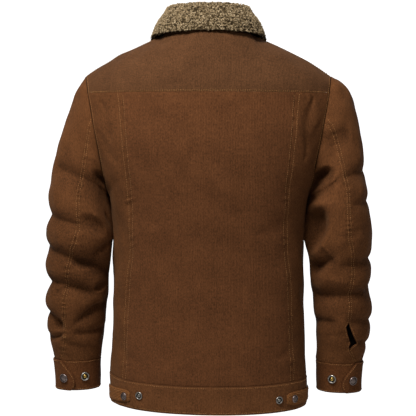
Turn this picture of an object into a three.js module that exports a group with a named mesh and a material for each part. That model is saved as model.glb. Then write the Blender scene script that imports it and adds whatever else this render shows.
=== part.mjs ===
// A corduroy jacket with a turned-down pile collar, in the hollow form it has when worn.
// Millimetres, +Z up. The front faces -Y and the wearer's left is +X. The origin is the
// middle of the neck, level with the base of the collar, where the wearer carries it.
import * as THREE from "three";

// Driving sizes of the body
const HEM_Z = -681; // lower edge of the waistband
const HEM_TILT = 5; // how much higher the hem hangs at the left side seam, and lower at the right
const HEM_SAG = 4; // how much lower the hem hangs at the middle than at the side seams
const BAND_TOP_Z = -629; // seam between the waistband and the panels
const YOKE_Z = -89; // yoke seam at the middle of the back
const YOKE_DROP = 6; // how much lower the yoke seam lies at the armholes
const BODY_WALL = 3; // cloth with its pile backing
const BAND_WALL = 3.4; // doubled cloth
const STRIP_WALL = 2; // placket and tabs
const SEAM_GAP = 0.3; // space left between two pieces at a seam
const BAND_LIFT = 0.6; // how far the waistband stands proud of the panels
const FULLNESS = 0.045; // how far the body's quarters bulge past an ellipse

// Neck and shoulders
const NECK_HALF = 80; // from the middle to the neck point
const NECK_BACK = 66; // from the shoulder line to the middle of the back neck
const NECK_FRONT = 92;
const NECK_POINT_Z = 14;
const NECK_RISE = 16; // back neck above the neck point
const NECK_DROP = 82; // front neck below the neck point
const NECK_ACROSS = 0.36; // share of the width that the neckline takes
const SHOULDER_ARCH = 5; // crown of the shoulder seam over a straight line
const SHOULDER_RISE = 0.75; // how far up the cloth stands before it rolls over the shoulder

// The armhole is an ellipse in a leaning plane, and the sleeve starts on it.
const ARM_TIP = { x: 230, z: -65 };
const ARM_PIT = { x: 188, z: -290 };
const ARM_Y = -4;
const ARM_HALF_DEPTH = 62;
const ARM_MID = { x: (ARM_TIP.x + ARM_PIT.x) / 2, z: (ARM_TIP.z + ARM_PIT.z) / 2 };
const ARM_HALF = { x: (ARM_TIP.x - ARM_PIT.x) / 2, z: (ARM_TIP.z - ARM_PIT.z) / 2 };
const EDGE_TURN = 58; // degrees of arc from the middle of the back to the armhole
const TURN_FROM_Z = -345; // below this the arc is a full quarter turn
const PIT_REACH = 0.35; // how much narrower the strip is that follows the armhole underarm
const PIT_FADE = 35; // height over which that strip widens again

// Sections of the body, from the hem up: half the width, the reach of the back and of the
// front, and how far the arc of a section ends from the plane of the shoulder seams.
const BODY = [
  { z: -680, half: 187, back: 127, front: 128, edge: 0 },
  { z: -629, half: 187, back: 127, front: 128, edge: 0 },
  { z: -570, half: 183, back: 125, front: 126, edge: 0 },
  { z: -490, half: 181, back: 123, front: 125, edge: 0 },
  { z: -400, half: 180.5, back: 125, front: 128, edge: 0 },
  { z: -345, half: 181, back: 130, front: 132, edge: 3 },
  { z: -290, half: 188, back: 135, front: 137, edge: 18 },
  { z: -230, half: 199, back: 138, front: 139, edge: 46 },
  { z: -170, half: 210, back: 135, front: 133, edge: 60 },
  { z: -95, half: 223, back: 121, front: 113, edge: 44 },
  { z: -40, half: 232, back: 104, front: 100, edge: 30 },
];
// Distance of the back's long seams from the middle, at each height
const LONG_SEAM = [
  { z: -680, x: 158 },
  { z: -629, x: 156 },
  { z: -480, x: 150 },
  { z: -380, x: 142 },
  { z: -290, x: 143 },
  { z: -190, x: 151 },
  { z: -60, x: 162 },
];

// Sleeve sections from the armhole to the cuff and on to the wrist: the outer and the inner
// point of each section, half its depth, the middle of its depth, how much fuller the right
// sleeve is than the left, how much further from the body its inner point hangs, and where each
// sleeve's back seam lies. Angles are in degrees from the outside over the back.
const SLEEVE = [
  { at: 0, xo: 230, zo: -65, xi: 188, zi: -290, depth: 62, y: -4, cap: 0, free: 0, left: 73, right: 73 },
  { at: 1, xo: 243.5, zo: -76, xi: 188.1, zi: -293, depth: 63.5, y: -4, cap: 4, free: 0, left: 76, right: 75 },
  { at: 2, xo: 257, zo: -97, xi: 187.5, zi: -297, depth: 65, y: -4, cap: 7, free: 0, left: 80, right: 77 },
  { at: 3, xo: 268, zo: -125.5, xi: 186.8, zi: -302, depth: 67, y: -4, cap: 7, free: 0, left: 84, right: 78 },
  { at: 4, xo: 278, zo: -160, xi: 186.1, zi: -309, depth: 69, y: 0, cap: 5, free: 0, left: 87, right: 77 },
  { at: 5, xo: 287, zo: -200, xi: 184.6, zi: -318, depth: 71, y: 6, cap: 3, free: 0, left: 88, right: 74 },
  { at: 6, xo: 294, zo: -240, xi: 182.4, zi: -330, depth: 72, y: 11, cap: 1, free: 0, left: 87, right: 71 },
  { at: 7, xo: 300, zo: -280, xi: 180.4, zi: -345, depth: 72, y: 15, cap: 0, free: 0, left: 89, right: 72 },
  { at: 8, xo: 304, zo: -318, xi: 179.5, zi: -362, depth: 71, y: 16, cap: 0, free: 0, left: 91, right: 73 },
  { at: 9, xo: 307, zo: -352, xi: 181.2, zi: -382, depth: 70, y: 14, cap: 0, free: 1, left: 87, right: 74 },
  { at: 10, xo: 308.5, zo: -385, xi: 184.4, zi: -404, depth: 68, y: 9, cap: 0, free: 5, left: 80, right: 72 },
  { at: 11, xo: 309.5, zo: -420, xi: 186, zi: -430, depth: 66, y: 4, cap: 0, free: 6, left: 75, right: 70 },
  { at: 12, xo: 309.5, zo: -455, xi: 188.5, zi: -458, depth: 64, y: -1, cap: 0, free: 5, left: 72, right: 74 },
  { at: 13, xo: 311.5, zo: -490, xi: 191.5, zi: -488, depth: 61, y: -6, cap: 0, free: 6, left: 71, right: 78 },
  { at: 14, xo: 310, zo: -525, xi: 195.5, zi: -520, depth: 57, y: -12, cap: 1, free: 6, left: 69, right: 81 },
  { at: 15, xo: 306.5, zo: -555, xi: 199, zi: -550, depth: 53, y: -18, cap: 1, free: 6, left: 69, right: 77 },
  { at: 16, xo: 301.5, zo: -580, xi: 202.5, zi: -578, depth: 48, y: -24, cap: 1, free: 4, left: 62, right: 73 },
  { at: 17, xo: 295.5, zo: -604, xi: 206, zi: -602, depth: 44.5, y: -29, cap: 0, free: 0, left: 51, right: 52 },
  { at: 18, xo: 293, zo: -634, xi: 207, zi: -632, depth: 43, y: -32, cap: 0, free: 0, left: 50, right: 50 },
  { at: 19, xo: 292, zo: -663, xi: 208, zi: -661, depth: 42, y: -35, cap: 0, free: 0, left: 50, right: 50 },
];
const CUFF_AT = 17; // station of the cuff seam
const WRIST_AT = 19;
const UNDER_SEAM = 205; // degrees from the outside to the seam under the arm
const SLEEVE_WALL = 2.4;
const CUFF_WALL = 2.6;

// Folds of the sleeves: troughs from one angle to another, with the height at both ends and
// at the control point between them.
const LEFT_FOLDS = [
  { from: 12, to: 164, z0: -226, z1: -238, z2: -303, deep: 11, wide: 17 },
  { from: -66, to: 114, z0: -321, z1: -310, z2: -347, deep: 10, wide: 17 },
  { from: 145, to: 189, z0: -317, z1: -337, z2: -375, deep: 7, wide: 8 },
  { from: -42, to: 199, z0: -380, z1: -384, z2: -445, deep: 12, wide: 16 },
  { from: -45, to: 140, z0: -466, z1: -428, z2: -476, deep: 12, wide: 15 },
  { from: 82, to: 195, z0: -533, z1: -483, z2: -496, deep: 9, wide: 10 },
  { from: -37, to: 73, z0: -522, z1: -493, z2: -540, deep: 10, wide: 12 },
  { from: 195, to: 325, z0: -352, z1: -338, z2: -360, deep: 7, wide: 18 },
  { from: 180, to: 320, z0: -424, z1: -420, z2: -404, deep: 7, wide: 17 },
  { from: 205, to: 330, z0: -500, z1: -478, z2: -486, deep: 7, wide: 16 },
];
const RIGHT_FOLDS = [
  { from: 46, to: 98, z0: -171, z1: -176, z2: -196, deep: 5, wide: 16 },
  { from: -44, to: 89, z0: -237, z1: -229, z2: -254, deep: 8, wide: 15 },
  { from: -50, to: 74, z0: -295, z1: -290, z2: -303, deep: 6, wide: 12 },
  { from: 96, to: 170, z0: -397, z1: -411, z2: -428, deep: 8, wide: 13 },
  { from: -42, to: 104, z0: -402, z1: -404, z2: -418, deep: 8, wide: 12 },
  { from: -32, to: 204, z0: -461, z1: -474, z2: -477, deep: 12, wide: 15 },
  { from: -61, to: 96, z0: -526, z1: -527, z2: -521, deep: 7, wide: 11 },
  { from: 101, to: 202, z0: -528, z1: -521, z2: -535, deep: 7, wide: 10 },
  { from: 200, to: 320, z0: -350, z1: -366, z2: -346, deep: 7, wide: 18 },
  { from: 215, to: 330, z0: -438, z1: -444, z2: -430, deep: 7, wide: 17 },
];
const FOLD_FADE = 0.22; // share of a fold's length over which it dies out at each end
const FOLD_SKEW = 0.2; // how much steeper a fold's upper side is than its lower one
const FOLD_POWER = 1.3; // 2 would give round troughs, and less gives creases between bulges

// Hollows under the folds' lips on the back of the sleeves: the middle, half the length and the
// width, the tilt of the length in degrees, and the depth.
const LEFT_HOLLOWS = [
  { x: 200, z: -256, long: 23, wide: 12, tilt: 53, deep: 13 },
  { x: 214, z: -338, long: 34, wide: 20, tilt: 40, deep: 7 },
  { x: 234, z: -411, long: 30, wide: 14, tilt: 9, deep: 7 },
  { x: 202, z: -458, long: 15, wide: 10, tilt: 159, deep: 9 },
  { x: 285, z: -532, long: 17, wide: 11, tilt: 69, deep: 6 },
];
const RIGHT_HOLLOWS = [
  { x: 209, z: -254, long: 34, wide: 17, tilt: 40, deep: 23 },
  { x: 193, z: -352, long: 56, wide: 27, tilt: 66, deep: 30 },
  { x: 196, z: -424, long: 34, wide: 17, tilt: 30, deep: 6 },
];
const HOLLOW = { floor: 0.15, wall: 0.9, end: 186 }; // shares of its size, and its last angle
// Where a sleeve lies against the body its folds die out, down to this height
const TOUCH = { angle: 183, spread: 20, z: -380, fade: 16 };

// The vent over the right cuff gapes between these two edges. The left one is closed.
const VENT = [
  { z: -525, top: 81, under: 81 },
  { z: -535, top: 78.5, under: 87.5 },
  { z: -551, top: 71.5, under: 83 },
  { z: -562, top: 63.5, under: 77.5 },
  { z: -569, top: 55.5, under: 75.5 },
  { z: -574, top: 68.5, under: 78 },
  { z: -580, top: 75.5, under: 75.5 },
];
const VENT_MARGIN = 6; // height over which the seam runs into the vent's ends

const LEFT_ARM = {
  name: "left", mirror: 1, fuller: -1, apart: 0, lower: 0, folds: LEFT_FOLDS, vent: [],
  hollows: LEFT_HOLLOWS,
};
const RIGHT_ARM = {
  name: "right", mirror: -1, fuller: 1, apart: 1, lower: 5.5, folds: RIGHT_FOLDS, vent: VENT,
  hollows: RIGHT_HOLLOWS,
};

// Cuff strip, in degrees round the wrist: it starts under its own end and laps over it.
const CUFF = { start: 28, rampStart: 318, rampEnd: 384, endTop: 410, endBottom: 446 };
const CUFF_LAP = CUFF_WALL + 0.7;
const CUFF_CORNER = 12; // degrees that the lower corner of the end is rounded off

// Collar sections round the neck, in degrees from the middle of the back: where the fold and
// the leaf's edge lie, out and up from the neckline, how far the leaf bows out between them,
// and how far its edge is carried round towards the side.
const COLLAR = [
  { at: 0, foldOut: 2, foldUp: 39.5, edgeOut: 17.5, edgeUp: -8, bow: 3, carry: 0 },
  { at: 45, foldOut: -2, foldUp: 41.5, edgeOut: 20, edgeUp: -7, bow: 3, carry: 0 },
  { at: 90, foldOut: -8, foldUp: 46.5, edgeOut: 24, edgeUp: -4.5, bow: 3, carry: 0 },
  { at: 105, foldOut: -6, foldUp: 47, edgeOut: 31, edgeUp: -2, bow: 5, carry: 0 },
  { at: 120, foldOut: -3, foldUp: 48, edgeOut: 38, edgeUp: -2, bow: 6, carry: 0 },
  { at: 135, foldOut: 0, foldUp: 47, edgeOut: 46, edgeUp: -24, bow: 7, carry: 3 },
  { at: 150, foldOut: 2, foldUp: 44, edgeOut: 47, edgeUp: -55, bow: 8, carry: 12 },
  { at: 165, foldOut: 3, foldUp: 40, edgeOut: 41, edgeUp: -52, bow: 6, carry: 26 },
  { at: 176, foldOut: 4, foldUp: 38, edgeOut: 35, edgeUp: -42, bow: 5, carry: 38 },
];
const COLLAR_WALL = 7; // pile on both sides of the cloth
const COLLAR_END = 176; // degrees to the front edge on each side
const COLLAR_STEP = 7.5;

// Tabs on the waistband, each fixed at a side seam
const TAB = { tip: 0.53, half: 12.5, corner: 0.1 };
// For each side: height of a tab at the side seam and at its tip, then of the two snaps, with
// their distances from the middle
const TABS = [
  {
    name: "left", mirror: 1, seamZ: -667, tipZ: -657,
    snapX: 155, snapZ: -659.5, spareX: 128, spareZ: -653,
  },
  {
    name: "right", mirror: -1, seamZ: -661, tipZ: -659,
    snapX: 158, snapZ: -659.5, spareX: 131, spareZ: -658,
  },
];
const PLACKET = { half: 0.085, lift: 1.2, top: 1.86 };

const TAB_LIFT = BAND_LIFT + 2 * SEAM_GAP + STRIP_WALL; // outside of a tab over the panels' surface

// Snaps: radius, height and the depth of the ring round the centre
const CUFF_SNAP = { radius: 8.5, height: 3.2 };
const BAND_SNAP = { radius: 7.3, height: 2.8 };
const SNAP_SIDES = 14;
const SNAP_SEAT = 0.4;

const BROWN = { color: 0x6b4226, roughness: 0.95, metalness: 0 };
const PILE = { color: 0x8a7350, roughness: 1, metalness: 0 };
const METAL = { color: 0x8b8780, roughness: 0.4, metalness: 0.9 };

const NUDGE = 0.002; // step for slopes, in the parameters of a surface
const FOREMOST = 2; // upper end of the body's second parameter

const jacket = new THREE.Group();

function smooth(t) {
  const c = THREE.MathUtils.clamp(t, 0, 1);
  return c * c * (3 - 2 * c);
}

// Value of a column of a table at a place in its key column, by a smooth curve.
function read(table, key, place, column) {
  const last = table.length - 1;
  const rising = table[last][key] > table[0][key] ? 1 : -1;
  let i = 0;
  while (i < last - 1 && (place - table[i + 1][key]) * rising > 0) i++;
  const slope = (j) => {
    const a = table[Math.max(j - 1, 0)];
    const b = table[Math.min(j + 1, last)];
    return (b[column] - a[column]) / (b[key] - a[key]);
  };
  const [lo, hi] = [table[i], table[i + 1]];
  const span = hi[key] - lo[key];
  const t = THREE.MathUtils.clamp((place - lo[key]) / span, 0, 1);
  const past = (place - lo[key]) / span - t;
  return (
    lo[column] * (1 + 2 * t) * (1 - t) ** 2 +
    hi[column] * t * t * (3 - 2 * t) +
    slope(i) * span * t * (1 - t) ** 2 +
    slope(i + 1) * span * t * t * (t - 1) +
    slope(t > 0 ? i + 1 : i) * span * past
  );
}

const sinDeg = (a) => Math.sin(THREE.MathUtils.degToRad(a));
const cosDeg = (a) => Math.cos(THREE.MathUtils.degToRad(a));

// Point of the armhole's ellipse: 0 at the shoulder tip, 90 at the back, 180 underarm.
function armhole(angle) {
  return new THREE.Vector3(
    ARM_MID.x + ARM_HALF.x * cosDeg(angle),
    ARM_Y + ARM_HALF_DEPTH * sinDeg(angle),
    ARM_MID.z + ARM_HALF.z * cosDeg(angle),
  );
}

function armholeAngle(z) {
  const c = THREE.MathUtils.clamp((z - ARM_MID.z) / ARM_HALF.z, -1, 1);
  return THREE.MathUtils.radToDeg(Math.acos(c));
}

function heightAt(across, up) {
  return HEM_Z + (YOKE_Z - HEM_Z) * up - YOKE_DROP * across ** 2 * up ** 6;
}

// Body below the yoke, for across >= 0. side is 1 for the back and -1 for the front. The arc of
// a section is drawn out near its end to meet the side seam or the armhole.
function trunk(side, across, up) {
  const edgeZ = heightAt(1, up);
  const value = (column) => read(BODY, "z", edgeZ, column);
  const turn = 90 - (90 - EDGE_TURN) * smooth((edgeZ - TURN_FROM_Z) / (YOKE_Z - TURN_FROM_Z));
  const end = { x: value("half"), y: ARM_Y + side * value("edge") };
  const middle = side * value(side > 0 ? "back" : "front");
  const bulge = 1 + FULLNESS * sinDeg(180 * across) ** 2;
  const out = (cosDeg(turn * across) - cosDeg(turn)) / (1 - cosDeg(turn));
  const p = new THREE.Vector3(
    (end.x * sinDeg(turn * across) * bulge) / sinDeg(turn),
    end.y + (middle - end.y) * out * bulge,
    heightAt(across, up),
  );
  const hole = armhole(edgeZ > ARM_PIT.z ? side * armholeAngle(edgeZ) : 180);
  const start = 0.5 + PIT_REACH * Math.exp(-(((edgeZ - ARM_PIT.z) / PIT_FADE) ** 2));
  const near = smooth((across - start) / (1 - start));
  if (edgeZ > ARM_PIT.z) p.x += (hole.x - end.x) * near;
  p.y += (hole.y - end.y) * near;
  return p;
}

// Neckline and shoulder seam, from the middle of the neck to the shoulder tip.
function topLine(side, across) {
  if (across < NECK_ACROSS) {
    const angle = (90 * across) / NECK_ACROSS;
    const reach = side > 0 ? NECK_BACK : -NECK_FRONT;
    const climb = side > 0 ? NECK_RISE : -NECK_DROP;
    return new THREE.Vector3(
      NECK_HALF * sinDeg(angle),
      ARM_Y + reach * cosDeg(angle),
      NECK_POINT_Z + climb * cosDeg(angle) ** (side > 0 ? 1 : 1.3),
    );
  }
  const t = (across - NECK_ACROSS) / (1 - NECK_ACROSS);
  return new THREE.Vector3(
    NECK_HALF + (ARM_TIP.x - NECK_HALF) * t,
    ARM_Y,
    NECK_POINT_Z + (ARM_TIP.z - NECK_POINT_Z) * t + SHOULDER_ARCH * sinDeg(180 * t ** 1.3),
  );
}

// Body over the yoke level: rises, rolls over and ends on the shoulder seam and neckline.
function shoulder(side, across, t) {
  const foot = trunk(side, across, 1);
  const below = trunk(side, across, 1 - NUDGE);
  const top = topLine(side, across);
  const climb = (SHOULDER_RISE * (top.z - foot.z)) / (foot.z - below.z);
  const bend = foot.clone().addScaledVector(foot.clone().sub(below), climb);
  const point = (f, b, e, s) =>
    f.clone().multiplyScalar((1 - s) ** 2)
      .addScaledVector(b, 2 * s * (1 - s))
      .addScaledVector(e, s * s);
  const p = point(foot, bend, top, t);
  const footEdge = trunk(side, 1, 1);
  const belowEdge = trunk(side, 1, 1 - NUDGE);
  const tip = topLine(side, 1);
  const climbEdge = (SHOULDER_RISE * (tip.z - footEdge.z)) / (footEdge.z - belowEdge.z);
  const bendEdge = footEdge.clone().addScaledVector(footEdge.clone().sub(belowEdge), climbEdge);
  const wanted = armhole(side * armholeAngle(footEdge.z) * (1 - Math.min(t, 1)));
  const miss = wanted.sub(point(footEdge, bendEdge, tip, Math.min(t, 1)));
  return p.addScaledVector(miss, smooth((across - 0.5) / 0.5));
}

// Point of the body's outside: across from -1 to 1, up from 0 at the hem to 1 at the yoke
// seam and 2 at the shoulder seam.
function body(side, across, up) {
  const a = Math.abs(across);
  const p = up <= 1 ? trunk(side, a, up) : shoulder(side, a, up - 1);
  if (across < 0) p.x = -p.x;
  const low = Math.max(1 - up, 0) ** 3;
  p.z += (HEM_TILT * across - HEM_SAG * cosDeg(90 * across) ** 2) * low;
  return p;
}

// Direction in which the body's wall has its thickness: level below the yoke seam, square to
// the cloth above it, and shared by front and back along the side and shoulder seams.
function bodyOut(side, across, up) {
  const along = body(side, across + NUDGE, up).sub(body(side, across - NUDGE, up));
  const level = new THREE.Vector3(along.y, -along.x, 0).multiplyScalar(-side).normalize();
  const low = smooth((ARM_PIT.z + 40 - heightAt(1, up)) / 40);
  const aside = new THREE.Vector3(Math.sign(across), 0, 0);
  level.lerp(aside, low * smooth((Math.abs(across) - 0.8) / 0.2)).normalize();
  if (up <= 1) return level;
  const top = Math.min(up, FOREMOST - NUDGE);
  const rise = body(side, across, top + NUDGE).sub(body(side, across, top - NUDGE));
  const square = along.cross(rise).multiplyScalar(-side).normalize();
  const out = level.lerp(square, smooth((up - 1) / 0.25)).normalize();
  const seam = new THREE.Vector3(
    Math.sign(across) * (NECK_POINT_Z - ARM_TIP.z), 0, ARM_TIP.x - NECK_HALF,
  ).normalize();
  const near = smooth((Math.abs(across) - NECK_ACROSS + 0.1) / 0.1);
  return out.lerp(seam, near * smooth((up - 1.75) / 0.25)).normalize();
}

// The height parameter at which the body's edge reaches a height.
function upAt(z) {
  let [lo, hi] = [0, 1.2];
  for (let i = 0; i < 40; i++) {
    const mid = (lo + hi) / 2;
    if (heightAt(1, mid) < z) lo = mid;
    else hi = mid;
  }
  return lo;
}

// The across parameter at which a level of the back lies at a distance from the middle.
function acrossAt(side, up, x) {
  let [lo, hi] = [0, 1];
  for (let i = 0; i < 40; i++) {
    const mid = (lo + hi) / 2;
    if (body(side, mid, up).x < x) lo = mid;
    else hi = mid;
  }
  return lo;
}

function longSeam(up) {
  return acrossAt(1, up, read(LONG_SEAM, "z", heightAt(0.7, up), "x"));
}

// A wall through a grid of points of its outside, with the direction of its thickness at
// each. inset moves each border inwards, to leave the space of a seam.
function wall(grid, thick, inset = SEAM_GAP / 2) {
  const rows = grid.length;
  const cols = grid[0].length;
  const outer = grid.map((row) => row.map((g) => g.p.clone()));
  const pull = (i, j, a, b) => {
    const step = grid[a][b].p.clone().sub(grid[i][j].p);
    outer[i][j].addScaledVector(step.normalize(), inset);
  };
  for (let j = 0; j < cols; j++) {
    pull(0, j, 1, j);
    pull(rows - 1, j, rows - 2, j);
  }
  for (let i = 0; i < rows; i++) {
    pull(i, 0, i, 1);
    pull(i, cols - 1, i, cols - 2);
  }
  const inner = outer.map((row, i) =>
    row.map((p, j) => p.clone().addScaledVector(grid[i][j].out, -thick)));
  const points = [...outer.flat(), ...inner.flat()];
  const faces = [];
  const at = (layer, i, j) => layer * rows * cols + i * cols + j;
  const quad = (a, b, c, d) => faces.push(a, b, c, a, c, d);
  for (let i = 0; i < rows - 1; i++)
    for (let j = 0; j < cols - 1; j++) {
      quad(at(0, i, j), at(0, i, j + 1), at(0, i + 1, j + 1), at(0, i + 1, j));
      quad(at(1, i, j), at(1, i + 1, j), at(1, i + 1, j + 1), at(1, i, j + 1));
    }
  for (let j = 0; j < cols - 1; j++) {
    quad(at(0, 0, j), at(1, 0, j), at(1, 0, j + 1), at(0, 0, j + 1));
    const i = rows - 1;
    quad(at(0, i, j), at(0, i, j + 1), at(1, i, j + 1), at(1, i, j));
  }
  for (let i = 0; i < rows - 1; i++) {
    quad(at(0, i, 0), at(0, i + 1, 0), at(1, i + 1, 0), at(1, i, 0));
    const j = cols - 1;
    quad(at(0, i, j), at(1, i, j), at(1, i + 1, j), at(0, i + 1, j));
  }
  return solid(points, faces);
}

// Geometry of a closed solid, turned so that its faces point out.
function solid(points, faces) {
  let volume = 0;
  for (let k = 0; k < faces.length; k += 3) {
    const [a, b, c] = [points[faces[k]], points[faces[k + 1]], points[faces[k + 2]]];
    volume += a.dot(b.clone().cross(c));
  }
  if (volume < 0)
    for (let k = 0; k < faces.length; k += 3)
      [faces[k + 1], faces[k + 2]] = [faces[k + 2], faces[k + 1]];
  const geometry = new THREE.BufferGeometry().setFromPoints(points);
  return geometry.setIndex(faces);
}

function add(name, geometry, finish) {
  const mesh = new THREE.Mesh(geometry, new THREE.MeshStandardMaterial(finish));
  mesh.name = name;
  jacket.add(mesh);
  return mesh;
}

const spread = (a, b, n) => Array.from({ length: n + 1 }, (_, i) => a + ((b - a) * i) / n);

// A panel of the body: rows at the heights in ups, columns from one edge to the other.
function bodyPanel(name, side, ups, edges, thick = BODY_WALL, lift = 0) {
  const grid = ups.map((up) =>
    edges(up).map((across) => {
      const out = bodyOut(side, across, up);
      return { p: body(side, across, up).addScaledVector(out, lift), out };
    }));
  return add(name, wall(grid, thick), BROWN);
}

const BAND_UP = upAt(BAND_TOP_Z);
const PIT_UP = upAt(ARM_PIT.z);
// Rows of the panels: even up to the underarm, then even round the armhole's edge.
const trunkRows = [
  ...spread(BAND_UP, PIT_UP, 6),
  ...[163, 146, 129, 112, 95, 78, 62].map((angle) => upAt(armhole(angle).z)),
  1,
];
const shoulderRows = spread(1, FOREMOST, 6);
const halfWidth = [...spread(0, NECK_ACROSS, 6), 0.5, 0.64, 0.78, 0.9, 1];
const mirrored = [...halfWidth.slice(1).reverse().map((a) => -a), ...halfWidth];

bodyPanel("back_yoke", 1, shoulderRows, () => mirrored);
bodyPanel("back_centre", 1, trunkRows, (up) => spread(-longSeam(up), longSeam(up), 8));
bodyPanel("back_side_left", 1, trunkRows, (up) => spread(longSeam(up), 1, 4));
bodyPanel("back_side_right", 1, trunkRows, (up) => spread(-1, -longSeam(up), 4));
const frontRows = [...trunkRows, ...shoulderRows.slice(1)];
bodyPanel("front_left", -1, frontRows, () => halfWidth);
bodyPanel("front_right", -1, frontRows, () => mirrored.slice(0, halfWidth.length));

const bandRows = [0, BAND_UP / 2, BAND_UP];
const bandAcross = (from, to, n) => () => spread(from, to, n);
bodyPanel("waistband_back", 1, bandRows, bandAcross(-1, 1, 20), BAND_WALL, BAND_LIFT);
bodyPanel("waistband_front_left", -1, bandRows, bandAcross(0, 1, 10), BAND_WALL, BAND_LIFT);
bodyPanel("waistband_front_right", -1, bandRows, bandAcross(-1, 0, 10), BAND_WALL, BAND_LIFT);

// The placket lies on the closed fronts and hides their meeting edges.
const placketRows = [0.004, ...frontRows.filter((up) => up > 0.05 && up < PLACKET.top), PLACKET.top];
bodyPanel("placket", -1, placketRows, bandAcross(-PLACKET.half, PLACKET.half, 4),
  STRIP_WALL, PLACKET.lift + STRIP_WALL);

// A tab runs from a side seam towards the back and ends in a rounded tip.
function tab({ name, mirror, seamZ, tipZ }) {
  const bend = TAB.tip + TAB.corner;
  const columns = [...spread(1, bend, 6), ...[0.7, 0.4, 0.15, 0].map((t) => TAB.tip + TAB.corner * t)];
  const grid = columns.map((across) => {
    const past = Math.max(0, (bend - across) / TAB.corner);
    const half = TAB.half * (0.5 + 0.5 * Math.sqrt(1 - past ** 2));
    const z = tipZ + ((seamZ - tipZ) * (across - TAB.tip)) / (1 - TAB.tip);
    return spread(-half, half, 2).map((dz) => {
      const up = upAt(z + dz);
      const out = bodyOut(1, mirror * across, up);
      return { p: body(1, mirror * across, up).addScaledVector(out, TAB_LIFT), out };
    });
  });
  add(`tab_${name}`, wall(grid, STRIP_WALL, 0), BROWN);
}
TABS.forEach(tab);

// A section of the sleeve: its middle and the half-axis towards its outer point.
function section(arm, at) {
  const value = (column) => read(SLEEVE, "at", at, column);
  const cap = arm.fuller * value("cap");
  const lower = arm.lower * smooth((at - 12) / (CUFF_AT - 12));
  const outer = new THREE.Vector3(value("xo") + cap, value("y"), value("zo") + cap / 2 - lower);
  const xi = value("xi") + arm.apart * value("free");
  const inner = new THREE.Vector3(xi, value("y"), value("zi") - lower);
  return {
    middle: outer.clone().add(inner).multiplyScalar(0.5),
    axis: outer.sub(inner).multiplyScalar(0.5),
    depth: value("depth"),
  };
}

// Direction square to a section's outline, within the plane of the section.
function sectionOut(s, angle) {
  const length = s.axis.length();
  return s.axis.clone()
    .multiplyScalar(cosDeg(angle) / (length * length))
    .add(new THREE.Vector3(0, sinDeg(angle) / s.depth, 0))
    .normalize();
}

// How far the folds press the cloth in at an angle and a height.
function foldDepth(folds, angle, z) {
  let depth = 0;
  for (const f of folds)
    for (const turn of [-360, 0, 360]) {
      const t = (angle + turn - f.from) / (f.to - f.from);
      if (t <= 0 || t >= 1) continue;
      const path = f.z0 * (1 - t) ** 2 + 2 * f.z1 * t * (1 - t) + f.z2 * t * t;
      const fade = smooth(Math.min(t, 1 - t) / FOLD_FADE);
      const reach = f.wide * (z > path ? 1 - FOLD_SKEW : 1 + FOLD_SKEW);
      depth += f.deep * fade * Math.exp(-((Math.abs(z - path) / reach) ** FOLD_POWER));
    }
  return depth;
}

// How far the hollows press the cloth in at a point of the sleeve.
function hollowDepth(hollows, angle, p) {
  const behind = smooth(sinDeg(angle) / 0.3) * smooth((HOLLOW.end - angle) / 10);
  let depth = 0;
  for (const h of hollows) {
    const [dx, dz, c, s] = [p.x - h.x, p.z - h.z, cosDeg(h.tilt), sinDeg(h.tilt)];
    const far = Math.hypot((dx * c + dz * s) / h.long, (dz * c - dx * s) / h.wide);
    depth += h.deep * behind * (1 - smooth((far - HOLLOW.floor) / HOLLOW.wall));
  }
  return depth;
}

function sleevePoint(arm, at, angle) {
  const s = section(arm, at);
  const p = s.middle.clone().addScaledVector(s.axis, cosDeg(angle));
  p.y += s.depth * sinDeg(angle);
  if (at >= CUFF_AT) return p;
  const spread = Math.exp(-(((angle - TOUCH.angle) / TOUCH.spread) ** 2));
  const touch = spread * smooth((p.z - TOUCH.z) / TOUCH.fade);
  const pressed =
    foldDepth(arm.folds, angle, p.z) * (1 - touch) + hollowDepth(arm.hollows, angle, p);
  return p.addScaledVector(sectionOut(s, angle), -pressed * smooth((CUFF_AT - at) / 0.8));
}

// Direction of the sleeve wall's thickness: square to the cloth, and in the plane of the
// section at both ends, so that the edges lie flush with what they meet.
function sleeveOut(arm, at, angle) {
  const flat = sectionOut(section(arm, at), angle);
  const mix = smooth(Math.min(at / 1.5, (CUFF_AT - at) / 0.8));
  if (mix <= 0) return flat;
  const round = sleevePoint(arm, at, angle + 1).sub(sleevePoint(arm, at, angle - 1));
  const down = sleevePoint(arm, at + 0.02, angle).sub(sleevePoint(arm, at - 0.02, angle));
  const square = round.cross(down).normalize();
  if (square.dot(flat) < 0) square.negate();
  return flat.lerp(square, mix).normalize();
}

// The two edges of a sleeve's back seam, which part at the vent.
function seamEdges(arm, at) {
  const seam = read(SLEEVE, "at", at, arm.name);
  const z = section(arm, at).middle.z;
  const [high, low] = [arm.vent[0], arm.vent[arm.vent.length - 1]];
  if (!high || z > high.z + VENT_MARGIN || z < low.z - VENT_MARGIN) return [seam, seam];
  const inside = smooth(Math.min(high.z + VENT_MARGIN - z, z - low.z + VENT_MARGIN) / VENT_MARGIN);
  const edge = (column) => {
    const i = Math.max(arm.vent.findIndex((row) => row.z < z), 1);
    const [above, below] = [arm.vent[i - 1], arm.vent[i]];
    const t = THREE.MathUtils.clamp((z - above.z) / (below.z - above.z), 0, 1);
    return seam + (above[column] + (below[column] - above[column]) * t - seam) * inside;
  };
  return z < low.z ? [edge("top"), edge("top")] : [edge("top"), edge("under")];
}

const evenRings = [...spread(0, 6, 9), ...spread(6, CUFF_AT, 27).slice(1)];
// More rings where a vent bends the edges
const sleeveRings = (arm) =>
  arm.vent.length
    ? [...evenRings.filter((at) => at < 14 || at > 16.2), ...spread(14, 16.2, 14)].sort((a, b) => a - b)
    : evenRings;

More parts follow.
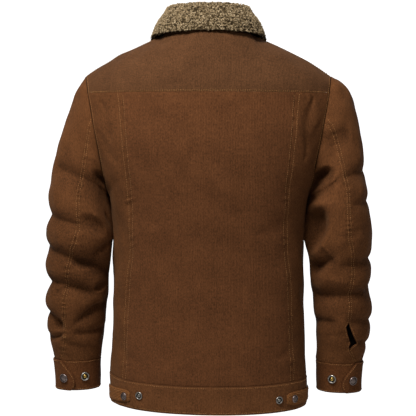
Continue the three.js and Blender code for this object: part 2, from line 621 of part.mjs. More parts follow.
// One of the two pieces of a sleeve. The first ring leaves the armhole by the seam's gap.
function sleevePiece(arm, name, edges, columns) {
  const leave = new THREE.Vector3(ARM_HALF.z, 0, -ARM_HALF.x).normalize();
  const grid = sleeveRings(arm).map((at) =>
    spread(...edges(at), columns).map((angle) => {
      const p = sleevePoint(arm, at, angle).addScaledVector(leave, SEAM_GAP * smooth(3 - at));
      const out = sleeveOut(arm, at, angle);
      p.x *= arm.mirror;
      out.x *= arm.mirror;
      return { p, out };
    }));
  add(name, wall(grid, SLEEVE_WALL), BROWN);
}

// The strip of a cuff starts under its own end, goes round the wrist and laps over itself.
function cuff(arm) {
  const rows = spread(0, 1, 3);
  const grid = rows.map((down) => {
    const lean = CUFF.endTop + (CUFF.endBottom - CUFF.endTop) * sinDeg(120 * Math.min(down, 0.75)) ** 1.2;
    const end = lean - CUFF_CORNER * down ** 10;
    const at = CUFF_AT + (WRIST_AT - CUFF_AT) * down;
    const s = section(arm, at);
    return spread(CUFF.start, end, 30).map((angle) => {
      const lap = CUFF_LAP * smooth((angle - CUFF.rampStart) / (CUFF.rampEnd - CUFF.rampStart));
      const out = sectionOut(s, angle);
      const p = s.middle.clone().addScaledVector(s.axis, cosDeg(angle));
      p.y += s.depth * sinDeg(angle);
      p.addScaledVector(out, lap);
      p.x *= arm.mirror;
      out.x *= arm.mirror;
      return { p, out };
    });
  });
  add(`cuff_${arm.name}`, wall(grid, CUFF_WALL), BROWN);
}

// A snap: a dished metal cap, turned to stand square on the cloth.
function snap(name, foot, out, size) {
  const { radius, height } = size;
  const profile = [
    [0, 0],
    [radius * 0.94, 0],
    [radius, height * 0.45],
    [radius * 0.8, height],
    [radius * 0.5, height * 0.62],
    [0, height * 0.95],
  ].map(([x, y]) => new THREE.Vector2(x, y));
  const mesh = add(name, new THREE.LatheGeometry(profile, SNAP_SIDES), METAL);
  mesh.position.copy(foot).addScaledVector(out, SNAP_SEAT);
  mesh.quaternion.setFromUnitVectors(new THREE.Vector3(0, 1, 0), out);
}

// A snap on the body, square to the cloth.
function bodySnap(name, side, x, z, lift) {
  const up = upAt(z);
  const across = Math.sign(x) * acrossAt(side, up, Math.abs(x));
  const along = body(side, across + NUDGE, up).sub(body(side, across - NUDGE, up));
  const rise = body(side, across, up + NUDGE).sub(body(side, across, up - NUDGE));
  const out = along.cross(rise).multiplyScalar(-side).normalize();
  snap(name, body(side, across, up).addScaledVector(out, lift), out, BAND_SNAP);
}

// A snap on a cuff, square to the cloth.
function cuffSnap(name, arm, angle, down, lift) {
  const at = CUFF_AT + (WRIST_AT - CUFF_AT) * down;
  const p = sleevePoint(arm, at, angle);
  const round = sleevePoint(arm, at, angle + 1).sub(sleevePoint(arm, at, angle - 1));
  const along = sleevePoint(arm, at + 0.1, angle).sub(sleevePoint(arm, at - 0.1, angle));
  const out = round.cross(along).normalize();
  if (out.dot(sectionOut(section(arm, at), angle)) < 0) out.negate();
  p.addScaledVector(out, lift);
  p.x *= arm.mirror;
  out.x *= arm.mirror;
  snap(name, p, out, CUFF_SNAP);
}

for (const arm of [LEFT_ARM, RIGHT_ARM]) {
  sleevePiece(arm, `sleeve_top_${arm.name}`, (at) => [UNDER_SEAM - 360, seamEdges(arm, at)[0]], 13);
  sleevePiece(arm, `sleeve_under_${arm.name}`, (at) => [seamEdges(arm, at)[1], UNDER_SEAM], 9);
  cuff(arm);
  cuffSnap(`cuff_snap_lap_${arm.name}`, arm, 58, 0.57, CUFF_LAP);
  cuffSnap(`cuff_snap_spare_${arm.name}`, arm, 110, 0.52, 0);
}
for (const t of TABS) {
  bodySnap(`tab_snap_${t.name}`, 1, t.mirror * t.snapX, t.snapZ, TAB_LIFT);
  bodySnap(`band_snap_${t.name}`, 1, t.mirror * t.spareX, t.spareZ, BAND_LIFT);
}

const FRONT_SNAP_Z = [-110, -205, -300, -395, -490, -585, -656];
FRONT_SNAP_Z.forEach((z, i) =>
  bodySnap(`front_snap_${i + 1}`, -1, 0, z, PLACKET.lift + STRIP_WALL));

// A section of the collar: where it stands, and the middle line of its wall, which goes up
// from just inside the neckline, over the fold and down the leaf.
function collarSection(angle) {
  const a = Math.abs(angle);
  const side = a <= 90 ? 1 : -1;
  const foot = topLine(side, (NECK_ACROSS * (90 - Math.abs(a - 90))) / 90);
  const ahead = new THREE.Vector3(sinDeg(a) * NECK_BACK, cosDeg(a) * NECK_HALF, 0).normalize();
  const value = (column) => read(COLLAR, "at", a, column);
  const foldOut = value("foldOut");
  const foldUp = value("foldUp");
  const start = -COLLAR_WALL / 2 - 3 * SEAM_GAP;
  const halfway = {
    out: (foldOut + 7 + value("edgeOut")) / 2 + value("bow"),
    up: (foldUp - 8 + value("edgeUp")) / 2 + value("bow") / 2,
  };
  const line = [
    [start, SEAM_GAP, 0],
    [(start + foldOut - 6) / 2 - 1, foldUp / 2 - 4, 0],
    [foldOut - 6, foldUp - 8, 0],
    [foldOut - 4.2, foldUp - 2.2, 0],
    [foldOut, foldUp, 0],
    [foldOut + 4.2, foldUp - 2.2, 0],
    [foldOut + 7, foldUp - 8, 0],
    [halfway.out, halfway.up, value("carry") / 2],
    [value("edgeOut"), value("edgeUp"), value("carry")],
  ];
  const round = new THREE.Vector3(-ahead.y, ahead.x, 0);
  return { foot, ahead, round, line, mirror: angle < 0 ? -1 : 1 };
}

// The points of a section's outline: along one face of the wall and back along the other.
function collarRing(angle) {
  const { foot, ahead, round, line, mirror } = collarSection(angle);
  const face = (dist) =>
    line.map(([out, up, carry], i) => {
      const [a, b] = [line[Math.max(i - 1, 0)], line[Math.min(i + 1, line.length - 1)]];
      const run = i === 0 ? [0, 1] : [b[0] - a[0], b[1] - a[1]];
      const step = dist / Math.hypot(...run);
      const p = foot.clone()
        .addScaledVector(ahead, out - run[1] * step)
        .addScaledVector(round, carry);
      p.z += up + run[0] * step;
      p.x *= mirror;
      return p;
    });
  return [...face(COLLAR_WALL / 2), ...face(-COLLAR_WALL / 2).reverse()];
}

function collar() {
  const half = [...spread(0, 165, 165 / COLLAR_STEP), COLLAR_END];
  const rings = [...half.slice(1).reverse().map((a) => -a), ...half].map(collarRing);
  const n = rings[0].length;
  const faces = [];
  for (let i = 0; i < rings.length - 1; i++)
    for (let j = 0; j < n; j++) {
      const [a, b] = [i * n + j, i * n + ((j + 1) % n)];
      faces.push(a, b, b + n, a, b + n, a + n);
    }
  const end = (start, turn) => {
    for (let j = 0; j < n / 2 - 1; j++) {
      const [a, b, c, d] = [start + j, start + j + 1, start + n - 2 - j, start + n - 1 - j];
      faces.push(...(turn ? [a, c, b, a, d, c] : [a, b, c, a, c, d]));
    }
  };
  end(0, true);
  end((rings.length - 1) * n, false);
  add("collar", solid(rings.flat(), faces), PILE);
}
collar();

export default jacket;
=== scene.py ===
"""A brown corduroy jacket with a turned-down pile collar, seen from behind, filled out as worn.

The shapes are worked out in millimetres from the same sizes as the solid part, and turned
into metres when a mesh is made. The front faces -Y and the wearer's left is +X.
"""

import math

import bpy
import numpy as np
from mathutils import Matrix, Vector


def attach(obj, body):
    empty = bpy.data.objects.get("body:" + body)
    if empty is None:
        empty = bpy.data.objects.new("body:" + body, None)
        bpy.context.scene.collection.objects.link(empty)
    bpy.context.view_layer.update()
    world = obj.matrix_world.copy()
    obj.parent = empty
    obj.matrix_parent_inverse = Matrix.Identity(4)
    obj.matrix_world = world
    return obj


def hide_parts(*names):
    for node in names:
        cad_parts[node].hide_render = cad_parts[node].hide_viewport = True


MM = 0.001
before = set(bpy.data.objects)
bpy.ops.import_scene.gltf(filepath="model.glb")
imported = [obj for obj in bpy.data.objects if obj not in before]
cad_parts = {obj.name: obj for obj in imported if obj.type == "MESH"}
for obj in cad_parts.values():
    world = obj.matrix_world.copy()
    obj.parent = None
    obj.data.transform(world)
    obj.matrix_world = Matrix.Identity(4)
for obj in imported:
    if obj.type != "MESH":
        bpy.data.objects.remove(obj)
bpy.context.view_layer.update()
rng = np.random.default_rng(11)

# Driving sizes of the body, in millimetres
HEM_Z, HEM_TILT, HEM_SAG, BAND_TOP_Z = -681.0, 5.0, 4.0, -629.0
YOKE_Z, YOKE_DROP = -89.0, 6.0
BODY_WALL, BAND_WALL, STRIP_WALL = 3.0, 3.4, 2.0
SLEEVE_WALL, CUFF_WALL, COLLAR_WALL = 2.4, 2.6, 7.0
SEAM_GAP, BAND_LIFT, FULLNESS = 0.3, 0.6, 0.045
NECK_HALF, NECK_BACK, NECK_FRONT, NECK_POINT_Z = 80.0, 66.0, 92.0, 14.0
NECK_RISE, NECK_DROP, NECK_ACROSS = 16.0, 82.0, 0.36
SHOULDER_ARCH, SHOULDER_RISE = 5.0, 0.75
TIP_X, TIP_Z, PIT_X, PIT_Z = 230.0, -65.0, 188.0, -290.0
ARM_Y, ARM_HALF_DEPTH = -4.0, 62.0
EDGE_TURN, TURN_FROM_Z = 58.0, -345.0
PIT_REACH, PIT_FADE = 0.35, 35.0
CUFF_AT, WRIST_AT, UNDER_SEAM = 17.0, 19.0, 205.0
NUDGE = 0.002


def table(columns, rows):
    """A table with named columns. The first is the key."""
    names = columns.split()
    found = {n: np.array([row[i] for row in rows], float) for i, n in enumerate(names)}
    found["key"] = found[names[0]]
    return found


# Sections of the body from the hem up: half the width, the reach of the back and the front,
# and how far the arc of a section ends from the plane of the shoulder seams
BODY = table(
    "z half back front edge",
    [
        (-680, 187, 127, 128, 0),
        (-629, 187, 127, 128, 0),
        (-570, 183, 125, 126, 0),
        (-490, 181, 123, 125, 0),
        (-400, 180.5, 125, 128, 0),
        (-345, 181, 130, 132, 3),
        (-290, 188, 135, 137, 18),
        (-230, 199, 138, 139, 46),
        (-170, 210, 135, 133, 60),
        (-95, 223, 121, 113, 44),
        (-40, 232, 104, 100, 30),
    ],
)
LONG_SEAM = table(
    "z x",
    [(-680, 158), (-629, 156), (-480, 150), (-380, 142), (-290, 143), (-190, 151), (-60, 162)],
)
# Sleeve sections from the armhole to the wrist: outer and inner point, half the depth and
# its middle, how much fuller the right sleeve is and how much further out its inner point
# hangs, and where each sleeve's back seam lies
SLEEVE = table(
    "at xo zo xi zi depth y cap free left right",
    [
        (0, 230, -65, 188, -290, 62, -4, 0, 0, 73, 73),
        (1, 243.5, -76, 188.1, -293, 63.5, -4, 4, 0, 76, 75),
        (2, 257, -97, 187.5, -297, 65, -4, 7, 0, 80, 77),
        (3, 268, -125.5, 186.8, -302, 67, -4, 7, 0, 84, 78),
        (4, 278, -160, 186.1, -309, 69, 0, 5, 0, 87, 77),
        (5, 287, -200, 184.6, -318, 71, 6, 3, 0, 88, 74),
        (6, 294, -240, 182.4, -330, 72, 11, 1, 0, 87, 71),
        (7, 300, -280, 180.4, -345, 72, 15, 0, 0, 89, 72),
        (8, 304, -318, 179.5, -362, 71, 16, 0, 0, 91, 73),
        (9, 307, -352, 181.2, -382, 70, 14, 0, 1, 87, 74),
        (10, 308.5, -385, 184.4, -404, 68, 9, 0, 5, 80, 72),
        (11, 309.5, -420, 186, -430, 66, 4, 0, 6, 75, 70),
        (12, 309.5, -455, 188.5, -458, 64, -1, 0, 5, 72, 74),
        (13, 311.5, -490, 191.5, -488, 61, -6, 0, 6, 71, 78),
        (14, 310, -525, 195.5, -520, 57, -12, 1, 6, 69, 81),
        (15, 306.5, -555, 199, -550, 53, -18, 1, 6, 69, 77),
        (16, 301.5, -580, 202.5, -578, 48, -24, 1, 4, 62, 73),
        (17, 295.5, -604, 206, -602, 44.5, -29, 0, 0, 51, 52),
        (18, 293, -634, 207, -632, 43, -32, 0, 0, 50, 50),
        (19, 292, -663, 208, -661, 42, -35, 0, 0, 50, 50),
    ],
)
# Folds of the sleeves: from one angle to another, with the height at both ends and at the
# control point between them, then depth and width. A negative depth is a ridge.
FOLDS = {
    "left": [
        (12, 164, -226, -238, -303, 11, 17),
        (-66, 114, -321, -310, -347, 10, 17),
        (145, 189, -317, -337, -375, 7, 8),
        (-42, 199, -380, -384, -445, 12, 16),
        (115, 189, -397, -367, -375, 5, 6),
        (-45, 140, -466, -428, -476, 12, 15),
        (82, 195, -533, -483, -496, 9, 10),
        (-37, 73, -522, -493, -540, 10, 12),
        (-16, 70, -549, -570, -547, 7, 5),
        (80, 189, -549, -548, -538, 3.5, 6),
        (195, 325, -352, -338, -360, 7, 18),
        (180, 320, -424, -420, -404, 7, 17),
        (205, 330, -500, -478, -486, 7, 16),
    ],
    "right": [
        (46, 98, -171, -176, -196, 5, 16),
        (72, 164, -238, -283, -293, 4, 6),
        (-44, 89, -237, -229, -254, 8, 15),
        (-50, 74, -295, -290, -303, 6, 12),
        (96, 170, -397, -411, -428, 8, 13),
        (-42, 104, -402, -404, -418, 8, 12),
        (-32, 204, -461, -474, -477, 12, 15),
        (-61, 96, -526, -527, -521, 7, 11),
        (101, 202, -528, -521, -535, 7, 10),
        (-36, 62, -574, -575, -563, 5, 7),
        (200, 320, -350, -366, -346, 7, 18),
        (215, 330, -438, -444, -430, 7, 17),
    ],
}
FOLD_FADE, FOLD_SKEW, FOLD_POWER = 0.22, 0.2, 1.3
# Hollows under the folds' lips on the back of the sleeves: the middle, half the length and the
# width, the tilt of the length in degrees, and the depth
HOLLOWS = {
    "left": [
        (200, -256, 23, 12, 53, 13),
        (214, -338, 34, 20, 40, 7),
        (234, -411, 30, 14, 9, 7),
        (202, -458, 15, 10, 159, 9),
        (285, -532, 17, 11, 69, 6),
    ],
    "right": [
        (209, -254, 34, 17, 40, 23),
        (193, -352, 56, 27, 66, 30),
        (196, -424, 34, 17, 30, 6),
    ],
}
HOLLOW_FLOOR, HOLLOW_WALL, HOLLOW_END = 0.15, 0.9, 186.0
# Where a sleeve lies against the body its folds die out: the angle, its spread, and the height
TOUCH_ANGLE, TOUCH_SPREAD, TOUCH_Z, TOUCH_FADE = 183.0, 20.0, -380.0, 16.0
# The open vent over the right cuff: the angles of its two edges at each height
VENT = [
    (-525, 81, 81),
    (-535, 78.5, 87.5),
    (-551, 71.5, 83),
    (-562, 63.5, 77.5),
    (-569, 55.5, 75.5),
    (-574, 68.5, 78),
    (-580, 75.5, 75.5),
]
VENT_MARGIN = 6.0
ARMS = {
    "left": {"name": "left", "mirror": 1, "fuller": -1, "apart": 0, "lower": 0.0, "vent": []},
    "right": {"name": "right", "mirror": -1, "fuller": 1, "apart": 1, "lower": 5.5, "vent": VENT},
}
# Angles round the wrist: the strip starts under its own end and laps over it
CUFF_START, RAMP_START, RAMP_END, END_TOP, END_BOTTOM = 28.0, 318.0, 384.0, 410.0, 446.0
CUFF_LAP = CUFF_WALL + 0.7
COLLAR = table(
    "at foldOut foldUp edgeOut edgeUp bow carry",
    [
        (0, 2, 39.5, 17.5, -8, 3, 0),
        (45, -2, 41.5, 20, -7, 3, 0),
        (90, -8, 46.5, 24, -4.5, 3, 0),
        (105, -6, 47, 31, -2, 5, 0),
        (120, -3, 48, 38, -2, 6, 0),
        (135, 0, 47, 46, -24, 7, 3),
        (150, 2, 44, 47, -55, 8, 12),
        (165, 3, 40, 41, -52, 6, 26),
        (176, 4, 38, 35, -42, 5, 38),
    ],
)
TABS = {
    "left": {"mirror": 1, "seamZ": -667, "tipZ": -657, "snap": (155, -659.5), "spare": (128, -653)},
    "right": {"mirror": -1, "seamZ": -661, "tipZ": -659, "snap": (158, -659.5), "spare": (131, -658)},
}
TAB_TIP, TAB_HALF, TAB_CORNER = 0.53, 12.5, 0.1
TAB_LIFT = BAND_LIFT + 2 * SEAM_GAP + STRIP_WALL
PLACKET_HALF, PLACKET_LIFT, PLACKET_TOP = 0.085, 1.2, 1.86
FRONT_SNAP_Z = [-110, -205, -300, -395, -490, -585, -656]


def smooth(t):
    c = np.clip(t, 0, 1)
    return c * c * (3 - 2 * c)


def sind(a):
    return np.sin(np.radians(a))


def cosd(a):
    return np.cos(np.radians(a))


def vec(x, y, z):
    return np.stack(np.broadcast_arrays(x, y, z), -1).astype(float)


def unit(v):
    return v / np.maximum(np.linalg.norm(v, axis=-1, keepdims=True), 1e-9)


def mix(a, b, t):
    return a + (b - a) * np.asarray(t)[..., None]


def read(tab, place, column):
    """Values of a column at places along the key, by a smooth curve."""
    keys, values = tab["key"], tab[column]
    rising = 1 if keys[-1] > keys[0] else -1
    place = np.asarray(place, float)
    last = len(keys) - 1
    i = np.searchsorted(keys[1:-1] * rising, place * rising, side="left")
    before, after = np.maximum(np.arange(last + 1) - 1, 0), np.minimum(np.arange(last + 1) + 1, last)
    slopes = (values[after] - values[before]) / (keys[after] - keys[before])
    span = keys[i + 1] - keys[i]
    full = (place - keys[i]) / span
    t = np.clip(full, 0, 1)
    end = np.where(t > 0, slopes[i + 1], slopes[i])
    return (
        values[i] * (1 + 2 * t) * (1 - t) ** 2
        + values[i + 1] * t * t * (3 - 2 * t)
        + slopes[i] * span * t * (1 - t) ** 2
        + slopes[i + 1] * span * t * t * (t - 1)
        + end * span * (full - t)
    )


def armhole(angle):
    return vec(
        (TIP_X + PIT_X) / 2 + (TIP_X - PIT_X) / 2 * cosd(angle),
        ARM_Y + ARM_HALF_DEPTH * sind(angle),
        (TIP_Z + PIT_Z) / 2 + (TIP_Z - PIT_Z) / 2 * cosd(angle),
    )


def armhole_angle(z):
    return np.degrees(np.arccos(np.clip((z - (TIP_Z + PIT_Z) / 2) / ((TIP_Z - PIT_Z) / 2), -1, 1)))


def height_at(across, up):
    return HEM_Z + (YOKE_Z - HEM_Z) * up - YOKE_DROP * across**2 * np.maximum(up, 0) ** 6


def trunk(side, across, up):
    edge_z = height_at(1.0, up)
    half, edge = read(BODY, edge_z, "half"), read(BODY, edge_z, "edge")
    middle = side * read(BODY, edge_z, "back" if side > 0 else "front")
    turn = 90 - (90 - EDGE_TURN) * smooth((edge_z - TURN_FROM_Z) / (YOKE_Z - TURN_FROM_Z))
    end_y = ARM_Y + side * edge
    bulge = 1 + FULLNESS * sind(180 * across) ** 2
    out = (cosd(turn * across) - cosd(turn)) / (1 - cosd(turn))
    x = half * sind(turn * across) * bulge / sind(turn)
    y = end_y + (middle - end_y) * out * bulge
    open_here = edge_z > PIT_Z
    hole = armhole(np.where(open_here, side * armhole_angle(edge_z), 180.0))
    start = 0.5 + PIT_REACH * np.exp(-(((edge_z - PIT_Z) / PIT_FADE) ** 2))
    near = smooth((across - start) / (1 - start))
    x = x + np.where(open_here, (hole[..., 0] - half) * near, 0)
    y = y + (hole[..., 1] - end_y) * near
    return vec(x, y, height_at(across, up))


def top_line(side, across):
    across = np.asarray(across, float)
    angle = 90 * np.minimum(across, NECK_ACROSS) / NECK_ACROSS
    reach, climb = (NECK_BACK, NECK_RISE) if side > 0 else (-NECK_FRONT, -NECK_DROP)
    c = np.maximum(cosd(angle), 0)
    neck = vec(
        NECK_HALF * sind(angle),
        ARM_Y + reach * c,
        NECK_POINT_Z + climb * c ** (1 if side > 0 else 1.3),
    )
    t = np.clip((across - NECK_ACROSS) / (1 - NECK_ACROSS), 0, None)
    seam = vec(
        NECK_HALF + (TIP_X - NECK_HALF) * t,
        ARM_Y,
        NECK_POINT_Z + (TIP_Z - NECK_POINT_Z) * t + SHOULDER_ARCH * sind(180 * t**1.3),
    )
    return np.where((across < NECK_ACROSS)[..., None], neck, seam)


def roll(side, across, t):
    """A point of the curve from the yoke level over the shoulder, for one column."""
    foot, below = trunk(side, across, 1.0), trunk(side, across, 1.0 - NUDGE)
    top = top_line(side, across)
    climb = SHOULDER_RISE * (top[..., 2] - foot[..., 2]) / (foot[..., 2] - below[..., 2])
    bend = foot + (foot - below) * climb[..., None]
    t = np.asarray(t)[..., None]
    return foot * (1 - t) ** 2 + bend * 2 * t * (1 - t) + top * t * t


def shoulder(side, across, t):
    across, t = np.broadcast_arrays(np.asarray(across, float), np.asarray(t, float))
    edge = np.ones_like(across)
    t_in = np.minimum(t, 1)
    foot_z = trunk(side, edge, 1.0)[..., 2]
    wanted = armhole(side * armhole_angle(foot_z) * (1 - t_in))
    miss = wanted - roll(side, edge, t_in)
    return roll(side, across, t) + miss * smooth((across - 0.5) / 0.5)[..., None]


def body(side, across, up):
    across, up = np.broadcast_arrays(np.asarray(across, float), np.asarray(up, float))
    a = np.abs(across)
    low = trunk(side, a, np.minimum(up, 1))
    high = shoulder(side, a, np.maximum(up - 1, 0))
    p = np.where((up <= 1)[..., None], low, high)
    p[..., 0] *= np.where(across < 0, -1, 1)
    p[..., 2] += (HEM_TILT * across - HEM_SAG * cosd(90 * across) ** 2) * np.maximum(1 - up, 0) ** 3
    return p


def body_square(side, across, up):
    """Direction square to the body's cloth."""
    top = np.minimum(up, 2 - NUDGE)
    along = body(side, across + NUDGE, top) - body(side, across - NUDGE, top)
    rise = body(side, across, top + NUDGE) - body(side, across, top - NUDGE)
    return unit(-side * np.cross(along, rise))


def body_out(side, across, up):
    """Direction of the thickness of the body's wall."""
    across, up = np.broadcast_arrays(np.asarray(across, float), np.asarray(up, float))
    along = body(side, across + NUDGE, up) - body(side, across - NUDGE, up)
    level = unit(-side * vec(along[..., 1], -along[..., 0], 0 * up))
    low = smooth((PIT_Z + 40 - height_at(1.0, up)) / 40)
    aside = vec(np.where(across < 0, -1.0, 1.0), 0 * up, 0 * up)
    level = unit(mix(level, aside, low * smooth((np.abs(across) - 0.8) / 0.2)))
    out = unit(mix(level, body_square(side, across, up), smooth((up - 1) / 0.25)))
    seam = unit(vec(np.sign(across) * (NECK_POINT_Z - TIP_Z), 0, TIP_X - NECK_HALF))
    near = smooth((np.abs(across) - NECK_ACROSS + 0.1) / 0.1)
    high = unit(mix(out, seam, near * smooth((up - 1.75) / 0.25)))
    return np.where((up <= 1)[..., None], level, high)


def up_at(z):
    lo, hi = np.zeros_like(np.asarray(z, float)), np.full_like(np.asarray(z, float), 1.2)
    for _ in range(40):
        mid = (lo + hi) / 2
        under = height_at(1.0, mid) < z
        lo, hi = np.where(under, mid, lo), np.where(under, hi, mid)
    return lo


def across_at(side, up, x):
    up = np.asarray(up, float)
    lo, hi = np.zeros_like(up), np.ones_like(up)
    for _ in range(40):
        mid = (lo + hi) / 2
        under = body(side, mid, up)[..., 0] < x
        lo, hi = np.where(under, mid, lo), np.where(under, hi, mid)
    return lo


def long_seam(up):
    return across_at(1, up, read(LONG_SEAM, height_at(0.7, up), "x"))


# Waves with irregular spacing, for puckers and unevenness
WAVES = rng.uniform(0, 2 * math.pi, 64)
SWELLS = [
    (unit(rng.normal(size=3)) / rng.uniform(34, 95), rng.uniform(0, 2 * math.pi)) for _ in range(10)
]


def ripple(s, pitch, seed=0):
    """Uneven ripples along a length s, about one to each pitch."""
    k = 2 * math.pi / pitch
    warp = 1.1 * np.sin(k * 0.23 * s + WAVES[seed]) + 0.7 * np.sin(k * 0.11 * s + WAVES[seed + 1])
    size = 0.62 + 0.38 * np.sin(k * 0.17 * s + WAVES[seed + 2])
    return size * np.sin(k * s + 2 * warp + WAVES[seed + 3])


def swell(p):
    """Soft unevenness of cloth that has seen wear, about 1 mm."""
    return 0.33 * sum(np.sin(p @ (k * 2 * math.pi) + phase) for k, phase in SWELLS)


def near_line(d, width):
    return np.exp(-((d / width) ** 2))


# Creases of the body: start, control point and end in x and z, then depth and width
BACK_CREASES = [
    (198, -112, 188, -135, 181, -178, 3.2, 11),
    (-192, -108, -178, -150, -181, -196, 3.6, 10),
    (-205, -150, -190, -185, -176, -215, 2.2, 8),
    (206, -165, 190, -200, 172, -218, 1.8, 9),
    (150, -300, 120, -330, 96, -332, 1.6, 14),
    (-150, -320, -122, -352, -92, -350, 1.6, 14),
    (-60, -118, 0, -128, 70, -120, 1.2, 16),
    (178, -560, 160, -585, 132, -590, 1.5, 12),
    (-176, -540, -160, -572, -130, -584, 1.6, 12),
    (-40, -600, 10, -612, 60, -602, 1.0, 12),
    (30, -200, 62, -300, 52, -420, 1.2, 22),
    (-70, -230, -46, -330, -62, -470, 1.3, 24),
]
FRONT_CREASES = [
    (190, -180, 150, -230, 110, -300, 3, 13),
    (-190, -186, -152, -240, -108, -310, 3, 13),
    (170, -330, 120, -360, 70, -352, 2.4, 12),
    (-172, -342, -118, -372, -74, -366, 2.4, 12),
    (150, -480, 110, -520, 60, -530, 2, 14),
    (-152, -470, -108, -516, -62, -520, 2, 14),
    (60, -420, 90, -500, 70, -600, 1.6, 16),
    (-56, -400, -88, -490, -72, -596, 1.6, 16),
]


def creases(table_, x, z):
    depth = np.zeros_like(x)
    for x0, z0, x1, z1, x2, z2, deep, wide in table_:
        best = np.full_like(x, 1e9)
        for t in np.linspace(0, 1, 25):
            px = x0 * (1 - t) ** 2 + 2 * x1 * t * (1 - t) + x2 * t * t
            pz = z0 * (1 - t) ** 2 + 2 * z1 * t * (1 - t) + z2 * t * t
            fade = 0.35 + 0.65 * math.sin(math.pi * t)
            best = np.minimum(best, np.hypot(x - px, z - pz) / (wide * fade))
        depth += deep * np.exp(-(best**2))
    return depth


def body_relief(side, across, up, p):
    """How far the cloth of the body stands out from its plain form, in millimetres."""
    x, z = p[..., 0], p[..., 2]
    a = np.abs(across)
    relief = swell(p) - creases(BACK_CREASES if side > 0 else FRONT_CREASES, x, z)
    if side > 0:
        seam = read(LONG_SEAM, np.minimum(z, YOKE_Z), "x")
        d = np.abs(x) - seam
        below = smooth((YOKE_Z + 2 - z) / 8)
        relief += below * 0.85 * near_line(d, 9) * ripple(z + 0.5 * d, 13, 4 + (x > 0).astype(int).max())
        relief -= below * 0.5 * near_line(d - 4, 3.0)
    yoke = np.abs(z - (YOKE_Z - YOKE_DROP * a**2))
    if side > 0:
        relief += 0.3 * near_line(yoke - 3, 9) * ripple(x, 17, 12)
    band = z - (BAND_TOP_Z + 0.75 * (HEM_TILT * across - HEM_SAG * cosd(90 * across) ** 2))
    relief += 0.55 * near_line(band - 4, 9) * ripple(x + side * 40, 12, 16)
    rim = smooth((a - 0.86) / 0.14) * smooth((z - PIT_Z) / 30)
    relief += 0.5 * rim * ripple(z + 3 * side, 12, 20)
    hold = smooth((1 - a) / 0.03) * smooth((2 - up) / 0.06) * smooth((z - HEM_Z) / 6)
    return relief * (0.25 + 0.75 * hold)


def on_body(side, across, up, lift=0.0, relief=True):
    across, up = np.broadcast_arrays(np.asarray(across, float), np.asarray(up, float))
    p, square = body(side, across, up), body_square(side, across, up)
    r = body_relief(side, across, up, p) if relief else 0 * up
    return p + square * r[..., None] + body_out(side, across, up) * lift, square


def section(arm, at):
    cap = arm["fuller"] * read(SLEEVE, at, "cap")
    lower = arm["lower"] * smooth((np.asarray(at) - 12) / (CUFF_AT - 12))
    y = read(SLEEVE, at, "y")
    outer = vec(read(SLEEVE, at, "xo") + cap, y, read(SLEEVE, at, "zo") + cap / 2 - lower)
    inner = vec(read(SLEEVE, at, "xi") + arm["apart"] * read(SLEEVE, at, "free"), y, read(SLEEVE, at, "zi") - lower)
    return (outer + inner) / 2, (outer - inner) / 2, read(SLEEVE, at, "depth")


def section_out(arm, at, angle):
    _, axis, depth = section(arm, at)
    length = (axis**2).sum(-1)
    c, s = cosd(angle), sind(angle)
    y = vec(0, 1, 0) * (s / depth)[..., None]
    return unit(axis * (c / length)[..., None] + y)


def fold_depth(folds, angle, z):
    depth = np.zeros(np.broadcast(angle, z).shape)
    for start, end, z0, z1, z2, deep, wide in folds:
        for turn in (-360, 0, 360):
            t = (angle + turn - start) / (end - start)
            inside = (t > 0) & (t < 1)
            path = z0 * (1 - t) ** 2 + 2 * z1 * t * (1 - t) + z2 * t * t
            fade = smooth(np.minimum(t, 1 - t) / FOLD_FADE)
            reach = wide * np.where(z > path, 1 - FOLD_SKEW, 1 + FOLD_SKEW)
            depth += np.where(inside, deep * fade * np.exp(-(np.abs(z - path) / reach) ** FOLD_POWER), 0)
    return depth


def hollow_depth(rows, angle, x, z):
    depth = np.zeros(np.broadcast(angle, z).shape)
    behind = smooth(sind(angle) / 0.3) * smooth((HOLLOW_END - angle) / 10)
    for x0, z0, long, wide, tilt, deep in rows:
        dx, dz = x - x0, z - z0
        far = np.hypot((dx * cosd(tilt) + dz * sind(tilt)) / long, (dz * cosd(tilt) - dx * sind(tilt)) / wide)
        depth += deep * behind * (1 - smooth((far - HOLLOW_FLOOR) / HOLLOW_WALL))
    return depth


# Finer wrinkles and ridges that lie between the main folds, in the same columns
WRINKLES = {
    "left": [
        (20, 120, -196, -206, -232, 1, 9),
        (-30, 60, -350, -360, -362, 1, 7),
        (60, 150, -566, -574, -580, 1.4, 5),
        (91, 134, -211, -219, -248, -4, 9),
        (98, 160, -239, -259, -284, -3, 7),
        (159, 121, -379, -382, -396, 3, 5),
        (37, 137, -481, -433, -476, 3, 5),
        (160, 101, -492, -494, -516, 3, 5),
        (84, 168, -543, -547, -538, 2, 5),
        (137, 171, -476, -488, -492, -3, 4),
        (114, 155, -315, -326, -362, -3, 5),
    ],
    "right": [
        (30, 110, -206, -212, -226, 1, 8),
        (20, 110, -340, -352, -362, 1.2, 8),
        (70, 170, -548, -552, -560, 1.2, 6),
        (75, 161, -242, -277, -284, -3.5, 6),
        (89, 173, -301, -292, -315, -4.5, 8),
        (157, 81, -296, -285, -247, 2.5, 5),
        (129, 98, -359, -402, -404, -3, 6),
        (88, 30, -558, -571, -565, 2.5, 5),
        (95, 46, -188, -158, -169, 2.5, 8),
        (147, 55, -439, -441, -455, -2, 8),
    ],
}


def touching(angle, z):
    """How much a point of a sleeve lies against the body, from 0 to 1."""
    return near_line(angle - TOUCH_ANGLE, TOUCH_SPREAD) * smooth((z - TOUCH_Z) / TOUCH_FADE)


